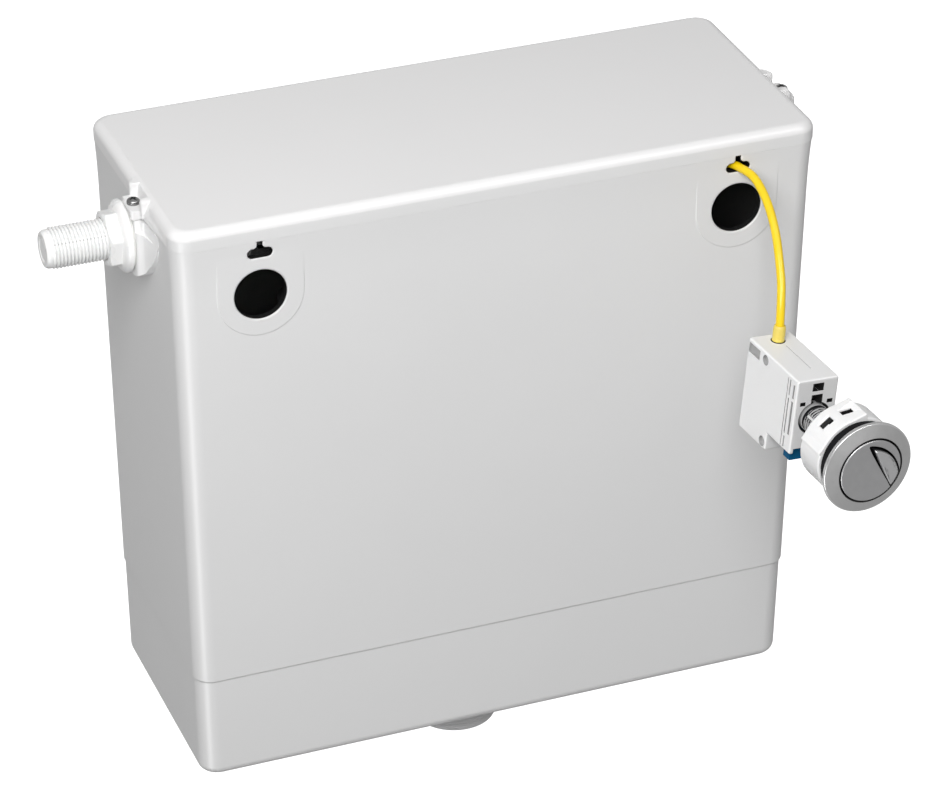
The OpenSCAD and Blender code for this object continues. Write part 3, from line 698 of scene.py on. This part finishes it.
def lid():
    def ring(z, i):
        return outline(170 - i, -140 + i, -i, max(10 - i * 0.6, 3.0), z)

    rings = [ring(318.5, 4.0), ring(318.3, 2.9), ring(317.7, 2.2), ring(317.0, 2.0), ring(311.6, 2.0), ring(311.3, 1.7), ring(311.3, 0.16), ring(311.34, 0.06), ring(311.45, 0.0), ring(316.5, 0.0)]
    for a in np.linspace(0, 90, 11)[1:]:
        rings.append(ring(316.5 + 5 * math.sin(math.radians(a)), 5 * (1 - math.cos(math.radians(a)))))
    top = loft("cistern_lid", rings)
    parts, holes = [], []
    for s in (-1, 1):
        mirror = Matrix.Scale(-1, 4, (1, 0, 0)) if s < 0 else IDENT
        levels = ((311.35, 0.2), (311.6, 0.0), (318.7, 0.0), (319.0, 0.0), (319.7, 0.03), (320.3, 0.2), (320.8, 0.55), (321.1, 1.05), (321.2, 1.6))
        # short cheek behind the screw
        rings_r, rings_f = [], []
        for z, i in levels:
            inner = 168.4 if z < 318.9 else 165.6
            rings_r.append(np.array([(inner, -79.18 + i * 0.2, z), (171.2 - i, -79.18 + i * 0.2, z), (171.9 - i, -78.95 + i * 0.2, z), (172.3 - i, -78.3 + i * 0.2, z), (172.4 - i, -77.4, z),
                                     (172.2 - i, -76.4, z), (171.6 - i, -75.2, z), (170.6 - i * 0.8, -73.8, z), (169.4 - i * 0.6, -72.6, z), (inner, -72.6, z)]))
        parts.append(move(loft("cheek", rings_r), mirror))
        # long cheek in front of it: its crest falls away towards the corner
        for y, out, crest in ((-95.02, 171.9, 320.9), (-95.25, 172.4, 321.1), (-95.9, 172.8, 321.15), (-97.2, 172.9, 321.0), (-98.3, 172.8, 320.7), (-98.9, 172.5, 320.3)):
            prof = [(168.4, 311.35), (out - 0.25, 311.35), (out, 311.6), (out, crest - 2.6), (out - 0.12, crest - 1.6), (out - 0.5, crest - 0.75),
                    (out - 1.1, crest - 0.2), (out - 2.0, crest), (165.6, crest), (165.6, 318.9), (168.4, 318.75)]
            rings_f.append(np.array([(x, y, z) for x, z in prof]))
        parts.append(move(loft("cheek", rings_f), mirror))
        wing = []
        for y, out, crest in ((-96.2, 172.2, 313.6), (-97.0, 172.0, 314.2), (-98.6, 171.9, 314.6), (-102.5, 171.6, 314.6), (-108.0, 171.2, 314.4), (-116.0, 170.7, 314.0), (-124.0, 170.25, 313.6), (-129.0, 170.05, 313.4)):
            prof = [(168.4, 311.35), (out - 0.25, 311.35), (out, 311.6), (out, crest - 0.9), (out - 0.12, crest - 0.3), (out - 0.45, crest + 0.3),
                    (168.9, 319.0), (168.4, 318.9)]
            wing.append(np.array([(x, y, z) for x, z in prof]))
        parts.append(move(loft("wing", wing), mirror))
        # ledge under the screw, with a rounded tab that hangs over in front
        ledge = soft_extrude("ledge", [(168.6, -96.0), (175.6, -96.0), (176.2, -95.4), (176.2, -78.6), (175.8, -78.2), (168.6, -78.2)], 310.0, 314.86, 0.2, 2)
        parts.append(move(ledge, mirror))
        tab = soft_extrude("tab", [(168.8, -96.2)] + arc(173.2, -92.2, 4.0, -90, 0, 8) + arc(174.2, -85.0, 3.0, 0, 90, 6) + [(168.8, -82.0)], 313.3, 314.83, 0.3, 2)
        parts.append(move(tab, mirror))
        skirt = soft_extrude("skirt", [(174.2, -96.1), (175.9, -95.9), (176.5, -95.6), (177.0, -95.1), (177.15, -94.5), (174.2, -94.5)], 310.1, 314.5, 0.2, 2)
        parts.append(move(skirt, mirror))
        pocket = extrude("pocket", [(169.0, 314.9), (168.35, 318.6), (167.0, 323.0), (184, 323.0), (184, 314.9)], -79.2, -95.0)
        holes.append(move(move(pocket, Matrix(((1, 0, 0, 0), (0, 0, 1, 0), (0, 1, 0, 0), (0, 0, 0, 1)))), mirror))
        holes.append(move(lathe("hole", [(2.2, 300), (2.2, 330)], 32), Matrix.Translation((s * 173.2, -87.2, 0))))
    join(top, *parts)
    cut(top, *holes)
    tidy(top)
    # painted light: the lid's top and rounded edge have a lighter copy of the tank's white, and the upright front lip
    # keeps the tank's tone
    tint(top, ("lid", "tank"))
    for p in top.data.polygons:
        if p.normal.z < 0.3 and p.center.z < 317 and p.center.y < -130:
            p.material_index = 1
    return done(top, "lid", ["lid", "tank"], stands_for=("lid",), sharp=30)


def screws():
    for s, name in ((-1, "lid_screw_left"), (1, "lid_screw_right")):
        prof = [(0.01, -9.0), (0.9, -9.0), (1.75, -7.6)]
        rings = [circle_ring(r, z, 48) for r, z in prof]
        rings += thread("t", 1.95, 0.32, 0.9, -7.5, -0.6, (0.6, 0.3), 48, 8)
        rings += [circle_ring(1.9, -0.3, 48), circle_ring(1.9, 0.0, 48), circle_ring(3.15, 0.0, 48), circle_ring(3.3, 0.15, 48), circle_ring(3.3, 1.1, 48)]
        for a in np.linspace(12, 90, 9):
            rings.append(circle_ring(max(0.05, 0.4 + 2.9 * math.cos(math.radians(a))), 1.1 + 1.8 * math.sin(math.radians(a)), 48))
        ob = loft(name, rings)
        # painted shade: the walls and floor of the cross recess are painted black
        arms = []
        for a in (20, 110):
            o = [(-2.2, -0.42), (2.2, -0.42), (2.2, 0.42), (-2.2, 0.42)]
            c = loft("arm", [np.c_[np.asarray(o) * (0.35, 0.7), np.full(4, 0.9)], np.c_[np.asarray(o) * (1.0, 1.0), np.full(4, 2.9)], np.c_[np.asarray(o) * (1.0, 1.0), np.full(4, 4.0)]])
            arms.append(tint(move(c, Matrix.Rotation(math.radians(a), 4, "Z")), ("screw", "carrier"), 1))
        cut(tint(ob, ("screw", "carrier")), *arms)
        tidy(ob)
        ob = done(ob, "lid", ["screw", "carrier"], Matrix.Translation((s * 173.2, -87.2, 314.9)), sharp=40)
        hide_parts("lid_screws")


tank()
lid()
screws()

# ---------------------------------------------------------------- inlet and outlet
def inlet():
    rings = [circle_ring(5.97, z) for z in (-122.0, -170.0, -217.6)]
    rings += [circle_ring(r, z) for r, z in ((6.15, -217.95), (6.5, -218.25), (8.4, -218.3), (8.75, -218.15), (9.15, -217.7), (9.55, -217.0), (9.7, -216.4), (9.72, -215.6))]
    rings += thread("t", 10.47, 0.98, 1.814, -215.3, -186.6, (1.6, 1.2), 96, 10, flat_at=math.radians(-125))
    rings += [circle_ring(r, z) for r, z in ((10.1, -186.2), (10.1, -163.3), (15.0, -163.0), (15.5, -162.6), (15.5, -159.6), (15.1, -159.1), (10.4, -158.9), (10.0, -158.4), (10.0, -126.6),
                                              (10.2, -126.1), (13.0, -126.0), (13.5, -125.5), (13.5, -110.9), (13.2, -110.55), (6.0, -110.5))]
    tail = tint(loft("fill_valve_tail", rings), ("gloss", "groove", "recess"))
    # painted shade: the thread roots are painted grey, and the grooves across the flat a darker grey
    for p in tail.data.polygons:
        c = p.center
        if -214.6 < c.z < -186.9:
            f = (c.z / 1.814 - math.atan2(c.y, c.x) / (2 * math.pi)) % 1.0
            if abs(math.degrees(math.atan2(c.y, c.x)) + 125) < 2.6:
                p.material_index = 2 if 0.3 < f < 0.7 else 0
            elif 0.34 < f < 0.66:
                p.material_index = 1
    done(tail, "cistern", ["gloss", "groove", "recess"], INLET, ("fill_valve_body",), sharp=40)
    # spigot for the drop tube
    s = lathe("fill_valve_spigot", [(5.0, 272.4), (6.6, 272.4), (7.0, 272.9), (7.0, 290.0), (5.0, 290.0)], 48, closed=True)
    done(s, "cistern", "gloss", Matrix.Translation((-140, -80.5, 0)), ("fill_valve_body",))
    # two ears for the float arm's pin
    for k in (-1, 1):
        o = [(-122, 280.4), (-122, 268.5)] + arc(-118, 268.5, 4, 180, 360, 10) + [(-114, 268.5), (-114, 282.0), (-122, 282.0)]
        e = soft_extrude("fill_valve_ear", o, -1.2, 1.2, 0.3, 2)
        e.name = "fill_valve_ear_front" if k < 0 else "fill_valve_ear_back"
        hole = move(lathe("h", [(2.04, -3), (2.04, 3)], 32), Matrix.Translation((-118, 268.5, 0)))
        cut(e, hole)
        m = Matrix.Translation((0, -80.5 + k * 6.2, 0)) @ Matrix(((1, 0, 0, 0), (0, 0, -1, 0), (0, 1, 0, 0), (0, 0, 0, 1)))
        done(e, "cistern", "gloss", m, ("fill_valve_body",))
    # hexagon nut with its round flange
    r = 13.0 / math.cos(math.radians(30))
    nut = extrude("inlet_nut", [(r * math.cos(math.radians(12 + 60 * k)), r * math.sin(math.radians(12 + 60 * k))) for k in range(6)], -187.6, -179.0)
    bevel_edges(nut, lambda e: abs(e.verts[0].co.z - e.verts[1].co.z) > 1, 1.1, 4)
    keep(nut, lathe("t", [(0.02, -187.6), (12.6, -187.6), (13.3, -187.4), (14.2, -186.9), (15.3, -186.2), (15.3, -178), (0.02, -178)]))
    flange = lathe("f", [(0.02, -181.3), (13.6, -181.3), (14.6, -181.2), (15.8, -180.85), (16.9, -180.3), (17.8, -179.5), (18.3, -178.6), (18.45, -177.8), (18.35, -177.1), (18.05, -176.7), (17.6, -176.6), (0.02, -176.6)])
    join(nut, flange)
    cut(nut, lathe("b", [(10.7, -189), (10.7, -187.2), (10.2, -186.6), (10.2, -170)], 64))
    tidy(nut)
    done(nut, "cistern", "gloss", INLET, ("inlet_backnut",), sharp=28)
    ring = lathe("inlet_washer", [(10.28, -176.58), (17.0, -176.58), (17.5, -176.45), (17.7, -176.1), (17.5, -175.75), (17.0, -175.62), (10.28, -175.62)], 96, closed=True)
    done(ring, "cistern", "washer", INLET, ("inlet_outer_washer",))
    sieve = lathe("inlet_sieve", [(0.02, -218.0), (2.0, -218.05), (5.3, -218.0), (5.9, -217.6), (5.95, -217.2), (5.95, -203.6), (4.8, -203.6), (4.8, -216.3), (0.02, -216.4)], 64)
    done(sieve, "cistern", "gloss", INLET, ("inlet_filter",))


def outlet():
    n = 120
    rings = [circle_ring(r, z, n) for r, z in ((19.5, 16.0), (19.5, -36.6), (19.9, -37.0), (21.9, -37.0), (22.4, -36.7), (22.7, -36.0))]
    rings += thread("t", 23.9, 1.25, 2.309, -35.6, -10.5, (1.4, 1.2), n, 10)
    rings += [circle_ring(r, z, n) for r, z in ((23.5, -10.0), (23.5, 6.4), (33.5, 6.6), (34.0, 7.1), (34.0, 10.5), (33.5, 11.0), (23.2, 11.0), (23.0, 11.3), (23.0, 15.6), (22.6, 16.0))]
    done(loft("flush_valve_base", rings, loop=True), "cistern", "outlet", OUTLET, ("flush_valve_base",), sharp=40)


# ---------------------------------------------------------------- button unit
def shell(name, node, x0, x1, seam, left):
    o = [(7.5, 0), (7.5, -50.2), (-19.5, -50.2), (-19.5, -40.6), (-42, -40.6), (-42, 0)]
    s = x_prism(name, o, x0, x1)
    near = lambda v: abs(v.co.x - seam) < 0.05
    bevel_edges(s, lambda e: not (near(e.verts[0]) and near(e.verts[1])), 1.15, 5)
    skins = ("unit", "recess", "shade", "unit_front_painted_shade", "unit_top_painted_shade")
    tint(s, skins)
    # painted shade: the hollow and the openings into it are painted near-black
    hollow = [(5.7, -1.8), (5.7, -48.4), (-17.7, -48.4), (-17.7, -38.8), (-40.2, -38.8), (-40.2, -14.2), (-36.4, -14.2), (-36.4, -1.8)]
    cuts = [tint(x_prism("c", hollow, -9.6 if left else -1.0, 1.0 if left else 9.2), skins, 2)]
    # cable, barrel with its key notch, pin and lever slot; faces cut by these are painted near-black as shade
    cuts.append(tint(lathe("c", [(2.6, -4), (2.6, -0.9), (3.75, -0.9), (3.75, 2)], 48), skins, 2))
    cuts.append(tint(move(lathe("c", [(8.1, 36.6), (8.1, 41.0), (8.4, 41.5), (8.9, 42.0), (8.9, 45)], 72), Matrix.Translation((-0.6, 0, -21.5)) @ Matrix.Rotation(math.radians(90), 4, "X")), skins, 2))
    cuts.append(tint(box("c", (-1.5, -44, -15.0), (0.3, -37, -12.4)), skins, 2))
    cuts.append(tint(box("c", (-10.2, -43, -41.6), (-0.2, -29, -37.6)), skins, 2))
    # windows in the front with a slanting right side, and two narrow slots
    for z0, z1 in ((-6.6, -2.3), (-13.2, -8.6)):
        cuts.append(tint(extrude("c", [(-3.5, -43), (2.8, -43), (2.7, -42), (1.7, -37.4), (-3.5, -37.4)], z0, z1), skins, 2))
    for a, b in ((-9.6, -6.6), (5.5, 8.6)):
        cuts.append(tint(box("c", (a, -43, -14.0), (b, -37.4, -11.9)), skins, 2))
    if left:
        # slanting recess, round recesses and grooves in the outer face; their cut faces are painted grey as shade
        cuts.append(tint(extrude("c", [(-13, 6.4), (-11.3, 6.4), (-10.4, -3.0), (-10.6, -4.4), (-13, -4.4)], -7.2, -2.0), skins, 1))
        for y, z in ((-10.1, -4.1), (-15.7, -46.6)):
            cuts.append(tint(move(lathe("c", [(2.0, -9.9), (2.7, -10.4), (2.7, -14)], 48), Matrix.Translation((0, y, z)) @ Matrix.Rotation(math.radians(90), 4, "Y")), skins, 1))
        for d0, d1, za, zb, deep in ((40.0, 40.6, -39.2, -2.0, 0.5), (42.0, 42.9, -10.8, -2.2, 0.9), (42.0, 42.9, -31.6, -12.2, 0.9), (42.4, 43.3, -39.0, -33.2, 0.8),
                                     (45.6, 47.0, -10.8, -3.4, 1.1), (45.4, 47.0, -30.8, -12.6, 1.1)):
            cuts.append(tint(box("c", (-13.5, 7.5 - d1, za), (-12.2 + deep * 1.6, 7.5 - d0, zb)), skins, 1))
    else:
        for y, z in ((-10.1, -4.1), (-15.7, -46.6)):
            cuts.append(tint(move(lathe("c", [(2.1, 9.5), (2.7, 9.9), (2.7, 13)], 48), Matrix.Translation((0, y, z)) @ Matrix.Rotation(math.radians(90), 4, "Y")), skins, 1))
        # long shallow joint line on the top, painted grey as shade
        cuts.append(tint(box("c", (0.9, -31.0, -0.2), (1.2, -6.0, 1.0)), skins, 1))
    cut(s, *cuts)
    tidy(s)
    # painted shade: faces toward the front get a much darker copy of the white and faces on top a slightly darker one
    for p in s.data.polygons:
        if p.material_index == 0 and p.normal.y < -0.85:
            p.material_index = 3
        elif p.material_index == 0 and p.normal.z > 0.85:
            p.material_index = 4
    done(s, "cistern", list(skins), UNIT, (node,), sharp=30)


def polar(name, fr, zs, n=240):
    """Solid with a radius that follows the angle; zs lists (height, inset)."""
    ang = np.linspace(0, 2 * math.pi, n, endpoint=False)
    r = np.array([fr(a) for a in ang])
    return loft(name, [np.stack([(r - i) * np.cos(ang), (r - i) * np.sin(ang), np.full(n, z)], 1) for z, i in zs])


def unit():
    shell("actuator_left", "actuator_shell_left", -12.2, -0.03, -0.03, True)
    shell("actuator_right", "actuator_shell_right", 0.03, 11.0, 0.03, False)
    # cable end piece
    prof = [(2.3, 0.05), (3.0, 0.05), (3.2, 0.25), (3.2, 1.3), (3.05, 1.5), (3.05, 2.4), (3.2, 2.6), (3.2, 6.8), (3.1, 7.4), (2.9, 8.1), (2.6, 8.5), (2.3, 8.55)]
    done(lathe("cable_end", prof, 48, closed=True), "cistern", "pale_yellow", UNIT, ("cable_ferrule",))
    # threaded barrel
    n = 96
    rings = [circle_ring(6.3, z, n) for z in (74.9, 38.1)]
    rings += [circle_ring(r, z, n) for r, z in ((7.2, 38.0), (7.6, 38.4), (7.6, 42.6), (7.3, 42.9), (6.6, 43.0))]
    rings += thread("t", 7.5, 1.0, 1.75, 44.0, 73.6, (0.8, 0.6), n, 10, sharpness=1.3)
    rings += [circle_ring(6.7, 74.6, n), circle_ring(6.6, 74.9, n)]
    barrel = loft("button_barrel", rings, loop=True)
    slots = []
    for a in (58, 148, 238, 328):
        slots.append(move(box("c", (5.9, -0.75, 44.2), (9.0, 0.75, 66.0)), Matrix.Rotation(math.radians(a), 4, "Z")))
    cut(barrel, *slots)
    tidy(barrel)
    # painted shade: the bottom of the thread is painted black
    tint(barrel, ("barrel", "carrier"))
    for p in barrel.data.polygons:
        if math.hypot(p.center.x, p.center.y) < 7.0 and 42.9 < p.center.z < 74:
            p.material_index = 1
    done(barrel, "cistern", ["barrel", "carrier"], AXIS, ("button_barrel",), sharp=40)
    # dark carrier
    car = lathe("button_carrier", [(7.7, 69.2), (17.7, 69.2), (18.2, 69.7), (18.2, 91.4), (17.9, 91.7), (17.4, 91.7), (17.4, 72.2), (7.7, 72.2)], 120, closed=True)
    done(car, "cistern", "carrier", AXIS, ("button_carrier",))
    # clamp: two quarters with flats that run out over the round body, and a window on each flat
    def section(a):
        d = math.degrees(a) % 180
        for mid, way, end, half in ((110, -1, 26.8, 10.6), (148, 1, 19.5, 7.44)):
            off = (d - mid) * way
            if 7.9 < off <= end:
                return max(21.2, 21.0 / math.cos(math.radians(off)) - (0.12 if off > end - 0.8 else 0.0))
            if end < off < end + 4:
                return max(21.2, half / math.sin(math.radians(off)))
        return 21.2

    zs = [(65.0, 1.5), (65.1, 0.95), (65.45, 0.4), (65.95, 0.1), (66.6, 0.0), (81.7, 0.0), (82.3, 0.1), (82.75, 0.4), (83.0, 0.9)]
    clamp = tint(polar("button_clamp", section, zs, 720), ("clamp", "shade"))
    # painted shade: the bore and the window pockets are painted near-black
    cuts = [tint(lathe("c", [(18.27, 68.0), (18.27, 90)], 120), ("clamp", "shade"), 1), lathe("c", [(7.7, 60), (7.7, 70)], 64)]
    for a in (97, 130, 277, 310):
        m = Matrix.Rotation(math.radians(a), 4, "Z")
        half = 3.3
        c = loft("c", [np.array([(r, -w, 73.3 - h), (r, w, 73.3 - h), (r, w, 73.3 + h), (r, -w, 73.3 + h)]) for r, w, h in ((19.55, half, 2.35), (20.3, half, 2.35), (21.5, half + 1.1, 3.3), (24.5, half + 3.6, 6.0))])
        cuts.append(move(c, m))
        cuts.append(tint(move(box("c", (17, -half, 70.95), (20, half, 73.9)), m), ("clamp", "shade"), 1))
        cuts.append(tint(move(box("c", (17, -half, 73.8), (20, -0.6, 75.65)), m), ("clamp", "shade"), 1))
    cut(clamp, *cuts)
    tidy(clamp)
    done(clamp, "cistern", ["clamp", "shade"], AXIS, ("button_clamp",), sharp=30)
    gas = lathe("button_gasket", [(18.3, 83.6), (19.6, 83.6), (20.1, 83.9), (20.3, 84.6), (20.1, 86.4), (20.3, 88.4), (20.3, 91.0), (20.2, 91.6), (18.3, 91.6)], 120, closed=True)
    done(gas, "cistern", "rubber", AXIS, ("button_gasket",))
    # bezel: polished rim, satin cone
    prof = [(17.4, 91.7), (23.1, 91.7), (23.7, 91.85), (24.0, 92.3), (24.0, 93.75), (23.93, 94.0), (23.75, 94.2)]
    cone = [(23.4, 94.35), (21.5, 95.3), (19.6, 96.15), (18.1, 96.85), (17.75, 96.98), (17.5, 96.9), (17.4, 96.6)]
    ring = lathe("bezel", prof + cone, 144, closed=True)
    ring.data.materials.append(MAT["chrome"])
    ring.data.materials.append(MAT["bright"])
    for p in ring.data.polygons:
        c = p.center
        if math.hypot(c.x, c.y) > 23.55:
            p.material_index = 1
    done(ring, "cistern", ["chrome", "bright"], AXIS, ("bezel",), sharp=28)


inlet()
outlet()
unit()


# ---------------------------------------------------------------- buttons
SEG = math.radians(30)


def petal(gap, disc=None, n=160):
    """Outline beyond the chord, inside a wide arc and, if asked for, inside the disc. It is convex."""
    cx, cy, big = -4.8, -9.0, 22.1 - gap
    nx, ny = math.cos(SEG), math.sin(SEG)
    ox, oy = 11.0 * math.cos(math.radians(2)), 11.0 * math.sin(math.radians(2))
    pts = []
    for t in np.linspace(0, 2 * math.pi, n, endpoint=False):
        dx, dy = math.cos(t), math.sin(t)
        far = []
        side = dx * nx + dy * ny
        if side < -1e-9:
            far.append((5.0 + gap - (ox * nx + oy * ny)) / side)
        for ax, ay, r in ((cx, cy, big),) + (((0, 0, disc),) if disc else ((0, 0, 40.0),)):
            fx, fy = ox - ax, oy - ay
            b = fx * dx + fy * dy
            far.append(-b + math.sqrt(max(b * b - (fx * fx + fy * fy - r * r), 0.0)))
        k = min(far)
        pts.append((ox + k * dx, oy + k * dy))
    return np.array(pts), np.array((ox, oy))


def round_off(o, times, n=260):
    """Even spacing along the outline, then its corners softened."""
    o = np.asarray(o, float)
    loop = np.vstack([o, o[:1]])
    at = np.r_[0, np.cumsum(np.linalg.norm(np.diff(loop, axis=0), axis=1))]
    t = np.linspace(0, at[-1], n, endpoint=False)
    o = np.c_[np.interp(t, at, loop[:, 0]), np.interp(t, at, loop[:, 1])]
    for _ in range(times):
        o = 0.25 * np.roll(o, 1, 0) + 0.5 * o + 0.25 * np.roll(o, -1, 0)
    return o


def widening(a, b):
    """Outline a at the low end of the grip, running over to outline b at its high end."""
    t = np.clip((-b[:, 0] * math.sin(SEG) + b[:, 1] * math.cos(SEG) + 13.0) / 21.0, 0, 1)[:, None]
    return a * (1 - t) + b * t


def grip_height(p):
    along = -p[0] * math.sin(SEG) + p[1] * math.cos(SEG)
    away = p[0] * math.cos(SEG) + p[1] * math.sin(SEG) - 5.4
    t = min(max((along + 16.0) / 26.0, 0.0), 1.0)
    return 97.3 + 2.9 * t ** 1.2 - 0.05 * max(away, 0.0) * t


def buttons():
    prof = [(0.02, 88.0), (16.2, 88.0), (16.5, 88.3), (16.5, 96.7), (16.42, 97.05), (16.2, 97.3), (15.85, 97.42), (15.2, 97.4), (13.0, 97.28), (10.0, 97.12), (6.0, 96.98), (3.0, 96.92), (0.02, 96.9)]
    pair = ("button", "carrier")
    full = tint(lathe("full_flush_button", prof, 144), pair)
    # painted shade: the disc's side and underside and the walls of its hole are painted black, for the dark gap around
    # the buttons
    for p in full.data.polygons:
        if p.center.z < 96.0:
            p.material_index = 1
    hole = round_off(widening(petal(0.12)[0], petal(-0.95)[0]), 8)
    cut(full, tint(extrude("c", hole, 80, 110), pair, 1))
    tidy(full)
    done(full, "full_button", list(pair), AXIS, ("full_flush_button",), sharp=30)
    edge, mid = petal(0.4, 16.5)
    edge = round_off(edge, 10)
    rings = [np.c_[edge, np.full(len(edge), 88.0)]]
    for inset, drop in ((0.0, 1.9), (0.08, 1.3), (0.28, 0.78), (0.6, 0.4), (1.05, 0.15), (1.6, 0.03), (2.2, 0.0)):
        d = edge - mid
        ln = np.linalg.norm(d, axis=1)[:, None]
        q = mid + d * (1 - inset / ln)
        rings.append(np.c_[q, [grip_height(p) - drop for p in q]])
    for k in (0.82, 0.64, 0.46, 0.28, 0.12):
        q = mid + (edge - mid) * k
        rings.append(np.c_[q, [grip_height(p) for p in q]])
    pair = ("fin", "carrier")
    half = tint(loft("half_flush_button", rings), pair)
    # painted shade: the low side walls are painted black, for the dark gap around the grip
    for p in half.data.polygons:
        if abs(p.normal.z) < 0.2 and p.center.z < 95.5:
            p.material_index = 1
    done(half, "half_button", list(pair), AXIS, ("half_flush_button",), sharp=40, flat=False)


buttons()

# ---------------------------------------------------------------- materials of the CAD pieces that stay
SLOTS = {
    "tank_plastic": "tank", "lid_plastic": "lid", "white_plastic": "white", "gloss_white": "gloss", "unit_white": "unit", "pale_washer": "washer",
    "pale_mesh": "mesh", "foam_float": "foam", "grey_outlet": "outlet", "grey_thread": "barrel", "dark_carrier": "carrier", "blue_plastic": "blue",
    "yellow_sheath": "yellow", "pale_yellow": "pale_yellow", "dark_rubber": "rubber", "steel": "steel", "brass_nipple": "brass", "satin_chrome": "chrome", "satin_button": "button",
}
SLOT_OF = {x["node"]: x["material_slot"] for x in frame["record"]["subparts"]}
for node_name, ob in NODE.items():
    if not ob.hide_render:
        ob.data.materials.clear()
        ob.data.materials.append(MAT[SLOTS[SLOT_OF[node_name]]])
